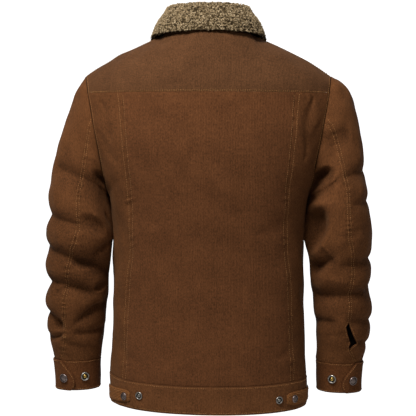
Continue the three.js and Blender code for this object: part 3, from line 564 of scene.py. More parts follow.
def sleeve_base(arm, at, angle):
    middle, axis, depth = section(arm, at)
    p = middle + axis * cosd(angle)[..., None]
    p[..., 1] += depth * sind(angle)
    touch = touching(angle, p[..., 2])
    pressed_and_shaded = fold_depth(FOLDS[arm["name"]], angle, p[..., 2]) * (1 - touch)
    pressed_and_shaded += hollow_depth(HOLLOWS[arm["name"]], angle, p[..., 0], p[..., 2])
    pressed_and_shaded *= smooth((CUFF_AT - at) / 0.8)
    return p - section_out(arm, at, angle) * pressed_and_shaded[..., None]


def sleeve_square(arm, at, angle):
    """Direction square to the sleeve's cloth, and within the section at both ends."""
    flat = section_out(arm, at, angle)
    round_ = sleeve_base(arm, at, angle + 1) - sleeve_base(arm, at, angle - 1)
    down = sleeve_base(arm, at + 0.02, angle) - sleeve_base(arm, at - 0.02, angle)
    square = unit(np.cross(round_, down))
    square *= np.where((square * flat).sum(-1) < 0, -1, 1)[..., None]
    share = smooth(np.minimum(at / 1.5, (CUFF_AT - at) / 0.8))
    return unit(mix(flat, square, share))


def seam_angle(arm, at):
    return read(SLEEVE, at, arm["name"])


def sleeve_relief(arm, at, angle, p):
    z = p[..., 2]
    seed = 24 if arm["name"] == "left" else 30
    away = np.minimum(smooth(at / 0.4), smooth((CUFF_AT - at) / 0.3))
    relief = 0.8 * swell(p * 1.3) - fold_depth(WRINKLES[arm["name"]], angle, z)
    seam = (angle - seam_angle(arm, at)) * 1.1
    relief += 1.2 * near_line(seam, 9) * ripple(z, 12, seed)
    relief -= 0.5 * near_line(np.abs(seam) - 3.5, 1.6)
    relief += 0.7 * near_line(at, 0.5) * ripple(angle * 1.6, 13, seed + 2)
    relief += 0.7 * near_line(CUFF_AT - at, 0.5) * ripple(angle * 0.9, 9, seed + 4)
    touch = touching(angle, z)
    return relief * (0.2 + 0.8 * away) * (1 - touch) + 1.7 * touch


def sleeve_painted_shade(arm, angle, p):
    """How much painted shade darkens the nap in the hollows of a sleeve's folds, from 0 to 1."""
    folds = fold_depth(FOLDS[arm["name"]], angle, p[..., 2])
    folds = folds + 2 * np.maximum(fold_depth(WRINKLES[arm["name"]], angle, p[..., 2]), 0)
    pockets = hollow_depth(HOLLOWS[arm["name"]], angle, arm["mirror"] * p[..., 0], p[..., 2])
    return 1 - np.exp(-folds / 7) + 0.8 * (1 - np.exp(-pockets / 6))


def on_sleeve(arm, at, angle, lift=0.0, relief=True):
    at, angle = np.broadcast_arrays(np.asarray(at, float), np.asarray(angle, float))
    p, square = sleeve_base(arm, at, angle), sleeve_square(arm, at, angle)
    r = sleeve_relief(arm, at, angle, p) if relief else 0 * at
    leave = unit(vec(TIP_Z - PIT_Z, 0, -(TIP_X - PIT_X)))
    p = p + square * (r + lift)[..., None] + leave * (SEAM_GAP * smooth(3 - at))[..., None]
    mirror = np.array([arm["mirror"], 1, 1])
    return p * mirror, square * mirror


def seam_edges(arm, at):
    """The two edges of a sleeve's back seam, which part at the vent."""
    seam = float(seam_angle(arm, at))
    z = float(section(arm, at)[0][..., 2])
    vent = arm["vent"]
    if not vent or z > vent[0][0] + VENT_MARGIN or z < vent[-1][0] - VENT_MARGIN:
        return seam, seam
    inside = float(smooth(min(vent[0][0] + VENT_MARGIN - z, z - vent[-1][0] + VENT_MARGIN) / VENT_MARGIN))
    i = max(next((k for k, row in enumerate(vent) if row[0] < z), len(vent) - 1), 1)
    above, below = vent[i - 1], vent[i]
    t = min(max((z - above[0]) / (below[0] - above[0]), 0), 1)
    edges = [seam + (above[c] + (below[c] - above[c]) * t - seam) * inside for c in (1, 2)]
    return (edges[0], edges[0]) if z < vent[-1][0] else tuple(edges)


def cuff_point(arm, down, angle, lift=0.0):
    at = CUFF_AT + (WRIST_AT - CUFF_AT) * down
    middle, axis, depth = section(arm, at)
    out = section_out(arm, at, angle)
    lap = CUFF_LAP * smooth((angle - RAMP_START) / (RAMP_END - RAMP_START))
    p = middle + axis * cosd(angle)[..., None]
    p[..., 1] += depth * sind(angle)
    seed = 40 if arm["name"] == "left" else 46
    r = 0.35 * swell(p * 1.6) + 0.45 * near_line(down, 0.16) * ripple(angle * 0.85, 9, seed)
    r += 0.3 * near_line(1 - down, 0.14) * ripple(angle * 0.85, 11, seed + 3)
    p = p + out * (lap + lift + r)[..., None]
    mirror = np.array([arm["mirror"], 1, 1])
    return p * mirror, out * mirror


def cuff_end(down):
    lean = END_TOP + (END_BOTTOM - END_TOP) * sind(120 * np.minimum(down, 0.75)) ** 1.2
    return lean - 12 * down**10


def plain_ramp(tree, fac, stops):
    ramp = tree.nodes.new("ShaderNodeValToRGB")
    while len(ramp.color_ramp.elements) < len(stops):
        ramp.color_ramp.elements.new(0.5)
    for element, (place, colour) in zip(ramp.color_ramp.elements, stops):
        element.position = place
        element.color = (*colour, 1)
    tree.links.new(fac, ramp.inputs["Fac"])
    return ramp.outputs["Color"]


def noise(tree, vector, scale, stretch=(1, 1, 1), detail=3.0, rough=0.55):
    mapping = tree.nodes.new("ShaderNodeMapping")
    mapping.inputs["Scale"].default_value = [scale * s for s in stretch]
    tree.links.new(vector, mapping.inputs["Vector"])
    found = tree.nodes.new("ShaderNodeTexNoise")
    found.inputs["Scale"].default_value = 1.0
    found.inputs["Detail"].default_value = detail
    found.inputs["Roughness"].default_value = rough
    tree.links.new(mapping.outputs["Vector"], found.inputs["Vector"])
    return found.outputs["Fac"]


def weigh(tree, parts, start):
    """start plus the sum of each value less a half, times its weight."""
    total = None
    for value, weight in parts:
        step = tree.nodes.new("ShaderNodeMath")
        step.operation = "MULTIPLY_ADD"
        step.inputs[1].default_value = weight
        tree.links.new(value, step.inputs[0])
        if total is None:
            step.inputs[2].default_value = start - sum(w for _, w in parts) / 2
        else:
            tree.links.new(total, step.inputs[2])
        total = step.outputs[0]
    return total


def bumped(tree, shader, height, strength, distance):
    bump = tree.nodes.new("ShaderNodeBump")
    bump.inputs["Strength"].default_value = strength
    bump.inputs["Distance"].default_value = distance
    tree.links.new(height, bump.inputs["Height"])
    tree.links.new(bump.outputs["Normal"], shader.inputs["Normal"])


def new_material(name, roughness, metallic=0.0):
    material = bpy.data.materials.new(name)
    material.use_nodes = True
    shader = material.node_tree.nodes["Principled BSDF"]
    shader.inputs["Roughness"].default_value = roughness
    shader.inputs["Metallic"].default_value = metallic
    return material, material.node_tree, shader


def linear(r, g, b):
    """Linear colour from display values of 0 to 255."""
    return [((c / 255 + 0.055) / 1.055) ** 2.4 if c > 10 else c / 255 / 12.92 for c in (r, g, b)]


def position(tree):
    return tree.nodes.new("ShaderNodeNewGeometry").outputs["Position"]


# Painted shade: the share by which the corduroy's colour darkens where a sleeve's folds and hollows are deep
CREASE_SHADE = 0.34


def corduroy(name, colour, wale=0.0029, sheen=0.06):
    """Ribbed cotton: the ribs run along V, and U is in metres across them."""
    material, tree, shader = new_material(name, 0.92)
    uv = tree.nodes.new("ShaderNodeUVMap")
    uv.uv_map = "UVMap"
    wave = tree.nodes.new("ShaderNodeTexWave")
    wave.wave_type, wave.bands_direction = "BANDS", "X"
    wave.inputs["Scale"].default_value = 2 * math.pi / (20 * wale)
    wave.inputs["Distortion"].default_value = 1.1
    wave.inputs["Detail"].default_value = 1.0
    wave.inputs["Detail Scale"].default_value = 0.4
    tree.links.new(uv.outputs["UV"], wave.inputs["Vector"])
    ribs = wave.outputs["Fac"]
    streaks = noise(tree, uv.outputs["UV"], 1.0, (330, 13, 1), 2.0)
    wear = noise(tree, position(tree), 26, detail=4.0, rough=0.65)
    nap = noise(tree, uv.outputs["UV"], 520, (1, 0.55, 1), 3.0)
    fleck = noise(tree, uv.outputs["UV"], 190, (1, 0.7, 1), 3.0)
    fac = weigh(tree, [(ribs, 0.06), (streaks, 0.2), (wear, 0.5), (nap, 1.3), (fleck, 0.55)], 0.5)
    # Painted shade: a per-point value, high in the sleeves' folds and hollows, darkens the colour
    painted_shade = tree.nodes.new("ShaderNodeAttribute")
    painted_shade.attribute_name = "painted_shade"
    pressed_and_shaded = tree.nodes.new("ShaderNodeMath")
    pressed_and_shaded.operation = "MULTIPLY_ADD"
    pressed_and_shaded.inputs[1].default_value = -CREASE_SHADE
    tree.links.new(painted_shade.outputs["Fac"], pressed_and_shaded.inputs[0])
    tree.links.new(fac, pressed_and_shaded.inputs[2])
    fac = pressed_and_shaded.outputs[0]
    mid = np.array(linear(*colour))
    stops = [(0.0, mid * 0.36), (0.5, mid), (0.95, mid * 1.6)]
    tree.links.new(plain_ramp(tree, fac, stops), shader.inputs["Base Color"])
    bumped(tree, shader, weigh(tree, [(ribs, 0.8), (nap, 0.6)], 0.5), 0.7, 0.0007)
    shader.inputs["Specular IOR Level"].default_value = 0.06
    shader.inputs["Sheen Weight"].default_value = sheen
    shader.inputs["Sheen Roughness"].default_value = 0.45
    shader.inputs["Sheen Tint"].default_value = (0.5, 0.27, 0.13, 1)
    return material


def pile(name, dark, mid, light, size=260.0, strength=0.8):
    """Curly pile, mottled between a shade and a light tone."""
    material, tree, shader = new_material(name, 0.97)
    clumps = noise(tree, position(tree), size, detail=2.0, rough=0.6)
    broad = noise(tree, position(tree), 45, detail=2.0)
    fibre = noise(tree, position(tree), 2600, detail=2.0)
    fac = weigh(tree, [(clumps, 1.9), (broad, 0.2), (fibre, 0.35)], 0.5)
    stops = [(0.1, linear(*dark)), (0.5, linear(*mid)), (0.9, linear(*light))]
    tree.links.new(plain_ramp(tree, fac, stops), shader.inputs["Base Color"])
    bumped(tree, shader, weigh(tree, [(clumps, 1.0), (fibre, 0.5)], 0.5), strength, 0.0012)
    shader.inputs["Specular IOR Level"].default_value = 0.06
    shader.inputs["Sheen Weight"].default_value = 0.1
    shader.inputs["Sheen Tint"].default_value = (0.6, 0.5, 0.34, 1)
    return material


def woven(name, dark, light, roughness, scale=900.0):
    material, tree, shader = new_material(name, roughness)
    grain = noise(tree, position(tree), scale, detail=2.0)
    broad = noise(tree, position(tree), 60, detail=2.0)
    fac = weigh(tree, [(grain, 0.7), (broad, 0.6)], 0.5)
    stops = [(0.15, linear(*dark)), (0.85, linear(*light))]
    tree.links.new(plain_ramp(tree, fac, stops), shader.inputs["Base Color"])
    bumped(tree, shader, grain, 0.35, 0.0003)
    shader.inputs["Specular IOR Level"].default_value = 0.12
    return material


def metal(name, dark, light, roughness):
    material, tree, shader = new_material(name, roughness, 1.0)
    stain = noise(tree, position(tree), 420, detail=4.0, rough=0.7)
    stops = [(0.3, linear(*dark)), (0.68, linear(*light))]
    tree.links.new(plain_ramp(tree, stain, stops), shader.inputs["Base Color"])
    bumped(tree, shader, noise(tree, position(tree), 1500, detail=2.0), 0.2, 0.0002)
    return material


# One brown corduroy in a copy for each part. The brown is the cloth's own; the small differences in tone between the
# copies are painted light and shade, set for how the light falls on each part
YOKE_CLOTH = corduroy("corduroy_yoke", (75, 48, 28))
PANEL_CLOTH = corduroy("corduroy_panel", (80, 48, 26))
SIDE_CLOTH = corduroy("corduroy_side", (81, 49, 26))
SLEEVE_CLOTH = corduroy("corduroy_sleeve", (84, 51, 27))
TRIM_CLOTH = corduroy("corduroy_trim", (86, 53, 29))
LINING = pile("pile_lining", (88, 72, 50), (142, 122, 92), (176, 156, 124), 210)
SLEEVE_LINING = woven("sleeve_lining", (26, 18, 13), (48, 34, 25), 0.55)
# Painted shade: the collar's ground under the curls is coloured dark for the shade between the locks
COLLAR_GROUND_SHADE = pile("pile_ground_shade", (34, 26, 15), (60, 48, 31), (88, 73, 50))
CURLS = pile("pile_curls", (84, 69, 46), (131, 111, 82), (196, 175, 141), 330, 0.5)
THREAD = woven("thread", (104, 68, 38), (152, 108, 64), 0.8)
TAB_CLOTH = corduroy("corduroy_tab", (104, 65, 34))
CUFF_CLOTH = corduroy("corduroy_cuff", (80, 47, 24))
STEEL = metal("snap_steel", (96, 92, 88), (176, 170, 162), 0.34)
# Painted shade: near-black metal in the snaps' grooves and recesses
RECESS_SHADE = metal("snap_recess_shade", (18, 16, 15), (48, 44, 40), 0.5)
BRASS = metal("snap_brass", (128, 98, 44), (206, 172, 98), 0.32)
GREY = metal("snap_cap", (84, 72, 68), (142, 128, 124), 0.45)


def make(name, points, faces, materials, uv=None, which=None, smooth_angle=55, painted_fold_shade=None):
    """A mesh object from points in millimetres, turned so that its faces point out."""
    points = np.asarray(points, float).reshape(-1, 3) * MM
    faces = np.asarray(faces, int)
    a, b, c = points[faces[:, 0]], points[faces[:, 1]], points[faces[:, 2]]
    volume = (a * np.cross(b, c)).sum()
    if faces.shape[1] == 4:
        volume += (a * np.cross(c, points[faces[:, 3]])).sum()
    if volume < 0:
        faces = faces[:, ::-1]
    mesh = bpy.data.meshes.new(name)
    mesh.vertices.add(len(points))
    mesh.vertices.foreach_set("co", points.ravel())
    n, sides = faces.shape
    mesh.loops.add(n * sides)
    mesh.loops.foreach_set("vertex_index", faces.ravel())
    mesh.polygons.add(n)
    mesh.polygons.foreach_set("loop_start", np.arange(n) * sides)
    mesh.polygons.foreach_set("loop_total", np.full(n, sides))
    for material in materials:
        mesh.materials.append(material)
    if which is not None:
        mesh.polygons.foreach_set("material_index", np.asarray(which, int))
    if uv is not None:
        layer = mesh.uv_layers.new(name="UVMap")
        layer.data.foreach_set("uv", np.asarray(uv, float)[faces.ravel()].ravel())
    # Painted shade per point, which darkens the corduroy's colour in the folds
    if painted_fold_shade is not None:
        layer = mesh.attributes.new("painted_shade", "FLOAT", "POINT")
        layer.data.foreach_set("value", np.asarray(painted_fold_shade, np.float32).ravel())
    mesh.update(calc_edges=True)
    mesh.polygons.foreach_set("use_smooth", np.ones(n, bool))
    mesh.set_sharp_from_angle(angle=math.radians(smooth_angle))
    mesh.validate()
    obj = bpy.data.objects.new(name, mesh)
    bpy.context.scene.collection.objects.link(obj)
    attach(obj, "root")
    return obj


def arc(p, axis):
    """Length along a grid from its first row or column."""
    step = np.linalg.norm(np.diff(p, axis=axis), axis=-1)
    pad = [(0, 0), (0, 0)]
    pad[axis] = (1, 0)
    return np.pad(np.cumsum(step, axis), pad)


def steps(a, b, n):
    """n even steps with more places near both ends, where an edge is rounded."""
    even = np.linspace(a, b, n + 1)
    h = even[1] - even[0]
    return np.concatenate([[a, a + 0.25 * h, a + 0.6 * h], even[1:-1], [b - 0.6 * h, b - 0.25 * h, b]])


def grid_faces(rows, cols):
    i, j = np.meshgrid(np.arange(rows - 1), np.arange(cols - 1), indexing="ij")
    a = (i * cols + j).ravel()
    return np.stack([a, a + 1, a + cols + 1, a + cols], 1)


def shell(name, p, out, thick, outside, inside, zero=None, dip=0.9, roll_in=2.6, inset=SEAM_GAP / 2, painted_shade=None):
    """A closed wall of cloth through a grid of points of its outside, with rounded edges."""
    rows, cols = p.shape[:2]
    p = p.copy()
    along, down = arc(p, 1), arc(p, 0)
    p[0] += unit(p[1] - p[0]) * inset
    p[-1] += unit(p[-2] - p[-1]) * inset
    p[:, 0] += unit(p[:, 1] - p[:, 0]) * inset
    p[:, -1] += unit(p[:, -2] - p[:, -1]) * inset
    d = np.minimum.reduce([along, along[:, -1:] - along, down, down[-1:] - down])
    drop = np.minimum(dip, 0.45 * thick) * (1 - smooth(d / roll_in))
    outer, inner = p - out * drop[..., None], p - out * thick
    column = cols // 2 if zero is None else zero
    u = (along - along[:, column : column + 1]) * MM
    v = np.broadcast_to(down[:, column : column + 1], u.shape) * MM
    uv = np.stack([u, v], -1).reshape(-1, 2)
    n = rows * cols
    top = grid_faces(rows, cols)
    under = top[:, ::-1] + n
    ring = np.concatenate(
        [
            np.arange(cols),
            np.arange(1, rows) * cols + cols - 1,
            (rows - 1) * cols + np.arange(cols - 2, -1, -1),
            np.arange(rows - 2, 0, -1) * cols,
        ]
    )
    after = np.roll(ring, -1)
    rim = np.stack([after, ring, ring + n, after + n], 1)
    faces = np.concatenate([top, under, rim])
    which = np.concatenate([np.zeros(len(top)), np.ones(len(under)), np.zeros(len(rim))])
    points = np.concatenate([outer.reshape(-1, 3), inner.reshape(-1, 3)])
    painted_fold_shade = None if painted_shade is None else np.concatenate([painted_shade.ravel(), 0 * painted_shade.ravel()])
    return make(name, points, faces, [outside, inside], np.concatenate([uv, uv]), which, painted_fold_shade=painted_fold_shade)


BAND_UP = float(up_at(BAND_TOP_Z))
PIT_UP = float(up_at(PIT_Z))
hole_angles = np.concatenate([np.arange(177, 150, -3), np.arange(150, 50, -2)])
TRUNK_UPS = np.unique(
    np.concatenate([steps(BAND_UP, PIT_UP, 106), up_at(armhole(hole_angles)[:, 2]), [0.988, 0.996, 1.0]])
)
TRUNK_UPS = TRUNK_UPS[TRUNK_UPS <= 1]
SHOULDER_UPS = steps(1, 2, 60)


def body_piece(name, side, ups, edges, cloth, thick=BODY_WALL, lift=0.0):
    across = np.array([edges(up) for up in ups])
    up = np.broadcast_to(np.asarray(ups)[:, None], across.shape)
    p, _ = on_body(side, across, up, lift)
    obj = shell(f"cloth_{name}", p, body_out(side, across, up), thick, cloth, LINING, dip=0.6)
    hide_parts(name)
    return obj


def tab_points(name, past_columns=12, rows=8):
    t = TABS[name]
    bend = TAB_TIP + TAB_CORNER
    past = sind(np.linspace(0, 90, past_columns + 1)[1:])
    columns = np.concatenate([np.linspace(1, bend, 42), bend - TAB_CORNER * past])
    over = np.clip((bend - columns) / TAB_CORNER, 0, 1)
    half = TAB_HALF * (0.5 + 0.5 * np.sqrt(1 - over**2))
    z = t["tipZ"] + (t["seamZ"] - t["tipZ"]) * (columns - TAB_TIP) / (1 - TAB_TIP)
    z = z[:, None] + half[:, None] * steps(-1, 1, rows)[None, :]
    across = np.broadcast_to((t["mirror"] * columns)[:, None], z.shape)
    return across, up_at(z)


def sleeve_piece(arm, name, edges, columns, cloth=SLEEVE_CLOTH):
    ats = steps(0, CUFF_AT, 186)
    angle = np.array([steps(*edges(at), columns) for at in ats])
    at = np.broadcast_to(ats[:, None], angle.shape)
    p, square = on_sleeve(arm, at, angle)
    obj = shell(
        f"cloth_{name}", p, square, SLEEVE_WALL, cloth, SLEEVE_LINING, dip=0.3,
        # painted shade in the folds and hollows
        painted_shade=sleeve_painted_shade(arm, angle, p),
    )
    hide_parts(name)
    return obj


def cuff_piece(arm):
    down = steps(0, 1, 20)
    angle = np.array([steps(CUFF_START, float(cuff_end(d)), 130) for d in down])
    p, out = cuff_point(arm, down[:, None], angle)
    name = f"cuff_{arm['name']}"
    obj = shell(f"cloth_{name}", p, out, CUFF_WALL, CUFF_CLOTH, CUFF_CLOTH, roll_in=2.2)
    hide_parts(name)
    return obj


body_piece("back_yoke", 1, SHOULDER_UPS, lambda up: steps(-1, 1, 160), YOKE_CLOTH)
seams = {up: float(long_seam(up)) for up in TRUNK_UPS}
body_piece(
    "back_centre", 1, TRUNK_UPS, lambda up: steps(-seams[up], seams[up], 84), PANEL_CLOTH
)
body_piece(
    "back_side_left", 1, TRUNK_UPS, lambda up: steps(seams[up], 1, 36), SIDE_CLOTH
)
body_piece(
    "back_side_right", 1, TRUNK_UPS, lambda up: steps(-1, -seams[up], 36), SIDE_CLOTH
)
FRONT_UPS = np.concatenate([TRUNK_UPS, np.linspace(1, 2, 61)[1:]])
body_piece("front_left", -1, FRONT_UPS, lambda up: steps(0, 1, 66), PANEL_CLOTH)
body_piece("front_right", -1, FRONT_UPS, lambda up: steps(-1, 0, 66), PANEL_CLOTH)

band_ups = steps(0, BAND_UP, 17)
for name, side, a, b, n in (
    ("waistband_back", 1, -1, 1, 150),
    ("waistband_front_left", -1, 0, 1, 76),
    ("waistband_front_right", -1, -1, 0, 76),
):
    body_piece(
        name, side, band_ups, lambda up: steps(a, b, n), TRIM_CLOTH, BAND_WALL, BAND_LIFT
    )
placket_ups = np.concatenate([[0.004], FRONT_UPS[(FRONT_UPS > 0.02) & (FRONT_UPS < PLACKET_TOP)], [PLACKET_TOP]])
body_piece(
    "placket", -1, placket_ups, lambda up: steps(-PLACKET_HALF, PLACKET_HALF, 16), TRIM_CLOTH,
    STRIP_WALL, PLACKET_LIFT + STRIP_WALL,
)
for name in TABS:
    across, up = tab_points(name)
    p, _ = on_body(1, across, up, TAB_LIFT)
    shell(
        f"cloth_tab_{name}", p, body_out(1, across, up), STRIP_WALL, TAB_CLOTH, TAB_CLOTH, inset=0
    )
    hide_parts(f"tab_{name}")
for arm in ARMS.values():
    side = arm["name"]
    sleeve_piece(
        arm, f"sleeve_top_{side}", lambda at: (UNDER_SEAM - 360, seam_edges(arm, at)[0]), 80
    )
    sleeve_piece(
        arm, f"sleeve_under_{side}", lambda at: (seam_edges(arm, at)[1], UNDER_SEAM), 42
    )
    cuff_piece(arm)


# Collar: a section is a line from the neckline up over the fold and down the leaf
def collar_lines(angle, count):
    a = np.abs(angle)
    foot = np.where(
        (a <= 90)[:, None],
        top_line(1, NECK_ACROSS * np.minimum(a, 90) / 90),
        top_line(-1, NECK_ACROSS * (180 - np.maximum(a, 90)) / 90),
    )
    ahead = unit(vec(sind(a) * NECK_BACK, cosd(a) * NECK_HALF, 0))
    value = {c: read(COLLAR, a, c) for c in "foldOut foldUp edgeOut edgeUp bow carry".split()}
    start = -COLLAR_WALL / 2 - 3 * SEAM_GAP
    out, up, carry = value["foldOut"], value["foldUp"], value["carry"]
    flat = np.zeros_like(a)
    knots = [
        (start + flat, SEAM_GAP + flat, flat),
        ((start + out - 6) / 2 - 1, up / 2 - 4, flat),
        (out - 6, up - 8, flat),
        (out - 4.2, up - 2.2, flat),
        (out, up, flat),
        (out + 4.2, up - 2.2, flat),
        (out + 7, up - 8, flat),
        ((out + 7 + value["edgeOut"]) / 2 + value["bow"], (up - 8 + value["edgeUp"]) / 2 + value["bow"] / 2, carry / 2),
        (value["edgeOut"], value["edgeUp"], carry),
    ]
    knots = np.stack([np.stack(k, -1) for k in knots], 1)
    length = np.pad(np.cumsum(np.linalg.norm(np.diff(knots, axis=1), axis=-1), 1), [(0, 0), (1, 0)])
    share = length / length[:, -1:]
    line = np.zeros((len(a), count, 3))
    for i in range(len(a)):
        keys = {"key": share[i], "out": knots[i, :, 0], "up": knots[i, :, 1], "carry": knots[i, :, 2]}
        places = np.linspace(0, 1, count)
        line[i] = np.stack([read(keys, places, c) for c in ("out", "up", "carry")], -1)
    return foot, ahead, vec(-ahead[:, 1], ahead[:, 0], 0), line


def collar_face(angle, count, dist):
    """Points of one face of the collar and the directions square to its line."""
    foot, ahead, round_, line = collar_lines(angle, count)
    run = np.gradient(line[..., :2], axis=1)
    run[:, 0] = (0, 1)
    run = unit(run)
    square = ahead[:, None] * -run[..., 1:2] + vec(0, 0, 1) * run[..., 0:1]
    p = foot[:, None] + ahead[:, None] * line[..., 0:1] + round_[:, None] * line[..., 2:3]
    p[..., 2] += line[..., 1]
    p = p + square * dist
    mirror = np.where(angle < 0, -1, 1)[:, None]
    p[..., 0] *= mirror
    square[..., 0] *= mirror
    return p, square


COLLAR_ANGLES = np.linspace(-176, 176, 341)
HALF_WALL = COLLAR_WALL / 2 - 1.5


def clumps(p):
    """Uneven height of the pile's ground, in millimetres."""
    k = [(0.9, 0.5, 0.7), (-0.6, 0.95, 0.4), (0.3, -0.8, 1.0), (1.3, 0.2, -0.9), (-0.4, 1.2, 1.1)]
    return 0.3 * sum(np.sin(p @ np.array(w) + WAVES[50 + i]) for i, w in enumerate(k))


front_p, front_n = collar_face(COLLAR_ANGLES, 44, HALF_WALL)
rear_p, rear_n = collar_face(COLLAR_ANGLES, 44, -HALF_WALL)
front_p = front_p + front_n * clumps(front_p)[..., None]
ring = np.concatenate([front_p, rear_p[:, ::-1]], 1)
count = ring.shape[1]
rows_, n_ = ring.shape[0], count
i, j = np.meshgrid(np.arange(rows_ - 1), np.arange(n_), indexing="ij")
a = (i * n_ + j).ravel()
b = (i * n_ + (j + 1) % n_).ravel()
side_faces = np.stack([a, b, b + n_, a + n_], 1)
k = np.arange(n_ // 2 - 1)
cap = np.stack([k, k + 1, n_ - 2 - k, n_ - 1 - k], 1)
last = (rows_ - 1) * n_
collar_faces = np.concatenate([side_faces, cap[:, ::-1], cap + last])
# The collar's body carries the dark ground colour: painted shade between the curls
make("cloth_collar", ring, collar_faces, [COLLAR_GROUND_SHADE])
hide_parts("collar")


def curls(name, p, n, spacing):
    """Short curled locks of pile over a grid of points p with square directions n."""
    a, b, c = p[:-1, :-1], p[1:, :-1], p[:-1, 1:]
    area = np.linalg.norm(np.cross(b - a, c - a), axis=-1)
    total = int(area.sum() / spacing**2)
    picked = rng.choice(area.size, total, p=(area / area.sum()).ravel())
    i, j = np.unravel_index(picked, area.shape)
    s, t = rng.random((2, total, 1))
    foot = p[i, j] * (1 - s - t + s * t) + p[i + 1, j] * s * (1 - t) + p[i, j + 1] * t * (1 - s) + p[i + 1, j + 1] * s * t
    up = unit(n[i, j] + 0.35 * rng.normal(size=(total, 3)))
    e1 = unit(np.cross(up, unit(rng.normal(size=(total, 3)))))
    e2 = np.cross(up, e1)
    links = 7
    turn = rng.uniform(3.4, 6.2, (total, 1)) * np.linspace(0, 1, links)[None]
    radius = rng.uniform(1.2, 2.1, (total, 1)) * np.linspace(1, 0.55, links)[None]
    climb = rng.uniform(-0.2, 0.5, (total, 1)) + rng.uniform(0.4, 1.7, (total, 1)) * np.linspace(0, 1, links)[None] ** 1.4
    path = (
        foot[:, None]
        + e1[:, None] * (radius * np.cos(turn))[..., None]
        + e2[:, None] * (radius * np.sin(turn))[..., None]
        + up[:, None] * climb[..., None]
    )
    ahead = unit(np.gradient(path, axis=1))
    side = unit(np.cross(ahead, up[:, None]))
    over = np.cross(side, ahead)
    thick = rng.uniform(0.62, 0.92, (total, 1)) * np.array([0.6, 0.95, 1, 1, 0.95, 0.85, 0.5])[None]
    rings = [
        path + (side * math.cos(f) + over * math.sin(f)) * thick[..., None]
        for f in (0, math.pi / 2, math.pi, 1.5 * math.pi)
    ]
    points = np.stack(rings, 2)
    base = (np.arange(total) * links * 4)[:, None, None] + (np.arange(links - 1) * 4)[None, :, None]
    q = np.arange(4)
    quads = np.stack([base + q, base + (q + 1) % 4, base + 4 + (q + 1) % 4, base + 4 + q], -1).reshape(-1, 4)
    start = (np.arange(total) * links * 4)[:, None]
    ends = np.concatenate([start + [3, 2, 1, 0], start + (links - 1) * 4 + [0, 1, 2, 3]])
    obj = make(name, points.reshape(-1, 3), np.concatenate([quads, ends]), [CURLS], smooth_angle=80)
    return obj


back_half = np.abs(COLLAR_ANGLES) <= 92
left_front, right_front = COLLAR_ANGLES >= 90, COLLAR_ANGLES <= -90
for name, half in (("left", COLLAR_ANGLES >= 0), ("right", COLLAR_ANGLES <= 0)):
    curls(f"pile_back_{name}", front_p[back_half & half], front_n[back_half & half], 3.0)
curls("pile_front_left", front_p[left_front], front_n[left_front], 4.6)
curls("pile_front_right", front_p[right_front], front_n[right_front], 4.6)
hem_rows = slice(36, 44)
curls("pile_edge", rear_p[:, hem_rows], -rear_n[:, hem_rows], 4.3)


# Stitching
def stitches(lines, name, pitch=4.2, length=3.2, width=0.9):
    """Thread along lines of points on the cloth, each with its square directions."""
    points, faces = [], []
    done = 0
    for p, n in lines:
        run = np.pad(np.cumsum(np.linalg.norm(np.diff(p, axis=0), axis=1)), (1, 0))
        starts = np.arange(0.6, run[-1] - length, pitch)
        if not len(starts):
            continue
        starts = starts + rng.uniform(-0.2, 0.2, len(starts))

        def at(s, values):
            return np.stack([np.interp(s, run, values[:, c]) for c in range(3)], -1)

        a, b = at(starts, p), at(starts + length, p)
        up = unit(at(starts + length / 2, n))
        ahead = unit(b - a)
        side = np.cross(ahead, up)
        ends = [a - up * 0.25, b - up * 0.25]
        rings = []
        wide = width * rng.uniform(0.7, 1.15, (len(starts), 1))
        drift = side * rng.uniform(-0.3, 0.3, (len(starts), 1))
        for share in (0.22, 0.78):
            centre = a + (b - a) * share + up * 0.16 + drift
            rings += [centre + side * wide / 2, centre + up * 0.42, centre - side * wide / 2, centre - up * 0.4]
        block = np.stack([ends[0], *rings, ends[1]], 1)
        base = done + 10 * np.arange(len(starts))[:, None]
        for q in range(4):
            r = (q + 1) % 4
            faces.append(np.concatenate([base, base + 1 + r, base + 1 + q], 1))
            faces.append(np.concatenate([base + 1 + q, base + 1 + r, base + 5 + r], 1))
            faces.append(np.concatenate([base + 1 + q, base + 5 + r, base + 5 + q], 1))
            faces.append(np.concatenate([base + 9, base + 5 + q, base + 5 + r], 1))
        points.append(block.reshape(-1, 3))
        done += 10 * len(starts)
    return make(name, np.concatenate(points), np.concatenate(faces), [THREAD])


def body_row(side, across, up, lift=0.0):
    return on_body(side, across, up, lift)


def level_row(side, z_off, n=160, a=-0.985, b=0.985, level=1.0, lift=0.0):
    """A row along the body at a height level, moved up by z_off millimetres."""
    across = np.linspace(a, b, n)
    return on_body(side, across, np.full(n, level + z_off / (YOKE_Z - HEM_Z)), lift)


back_lines = [level_row(1, 2.2), level_row(1, 9.0)]
z_rows = np.linspace(BAND_UP + 0.004, 0.995, 190)
for mirror in (1, -1):
    for off in (-2.2, 4.5):
        spread = off + (2.6 if off > 0 else 0) * smooth((z_rows - 0.55) / 0.4)
        x = read(LONG_SEAM, height_at(0.7, z_rows), "x") + spread
        back_lines.append(body_row(1, mirror * across_at(1, z_rows, x), z_rows))
    hole = np.linspace(PIT_UP + 0.03, 1.93, 120)
    for side in (1, -1):
        width = 3.4 / np.maximum(np.linalg.norm(body(side, 1.0, hole) - body(side, 0.98, hole), axis=-1) / 0.02, 60)
        back_lines.append(body_row(side, mirror * (1 - width), hole))
    seam = np.linspace(NECK_ACROSS + 0.02, 0.98, 60)
    back_lines.append(body_row(1, mirror * seam, np.full(60, 1.975)))
for side in (1, -1):
    for across_range in ((-0.995, -0.01), (0.01, 0.995)):
        for up in (BAND_UP - 0.005, 0.0065):
            across = np.linspace(*across_range, 110)
            back_lines.append(body_row(side, across, np.full(110, up), BAND_LIFT))
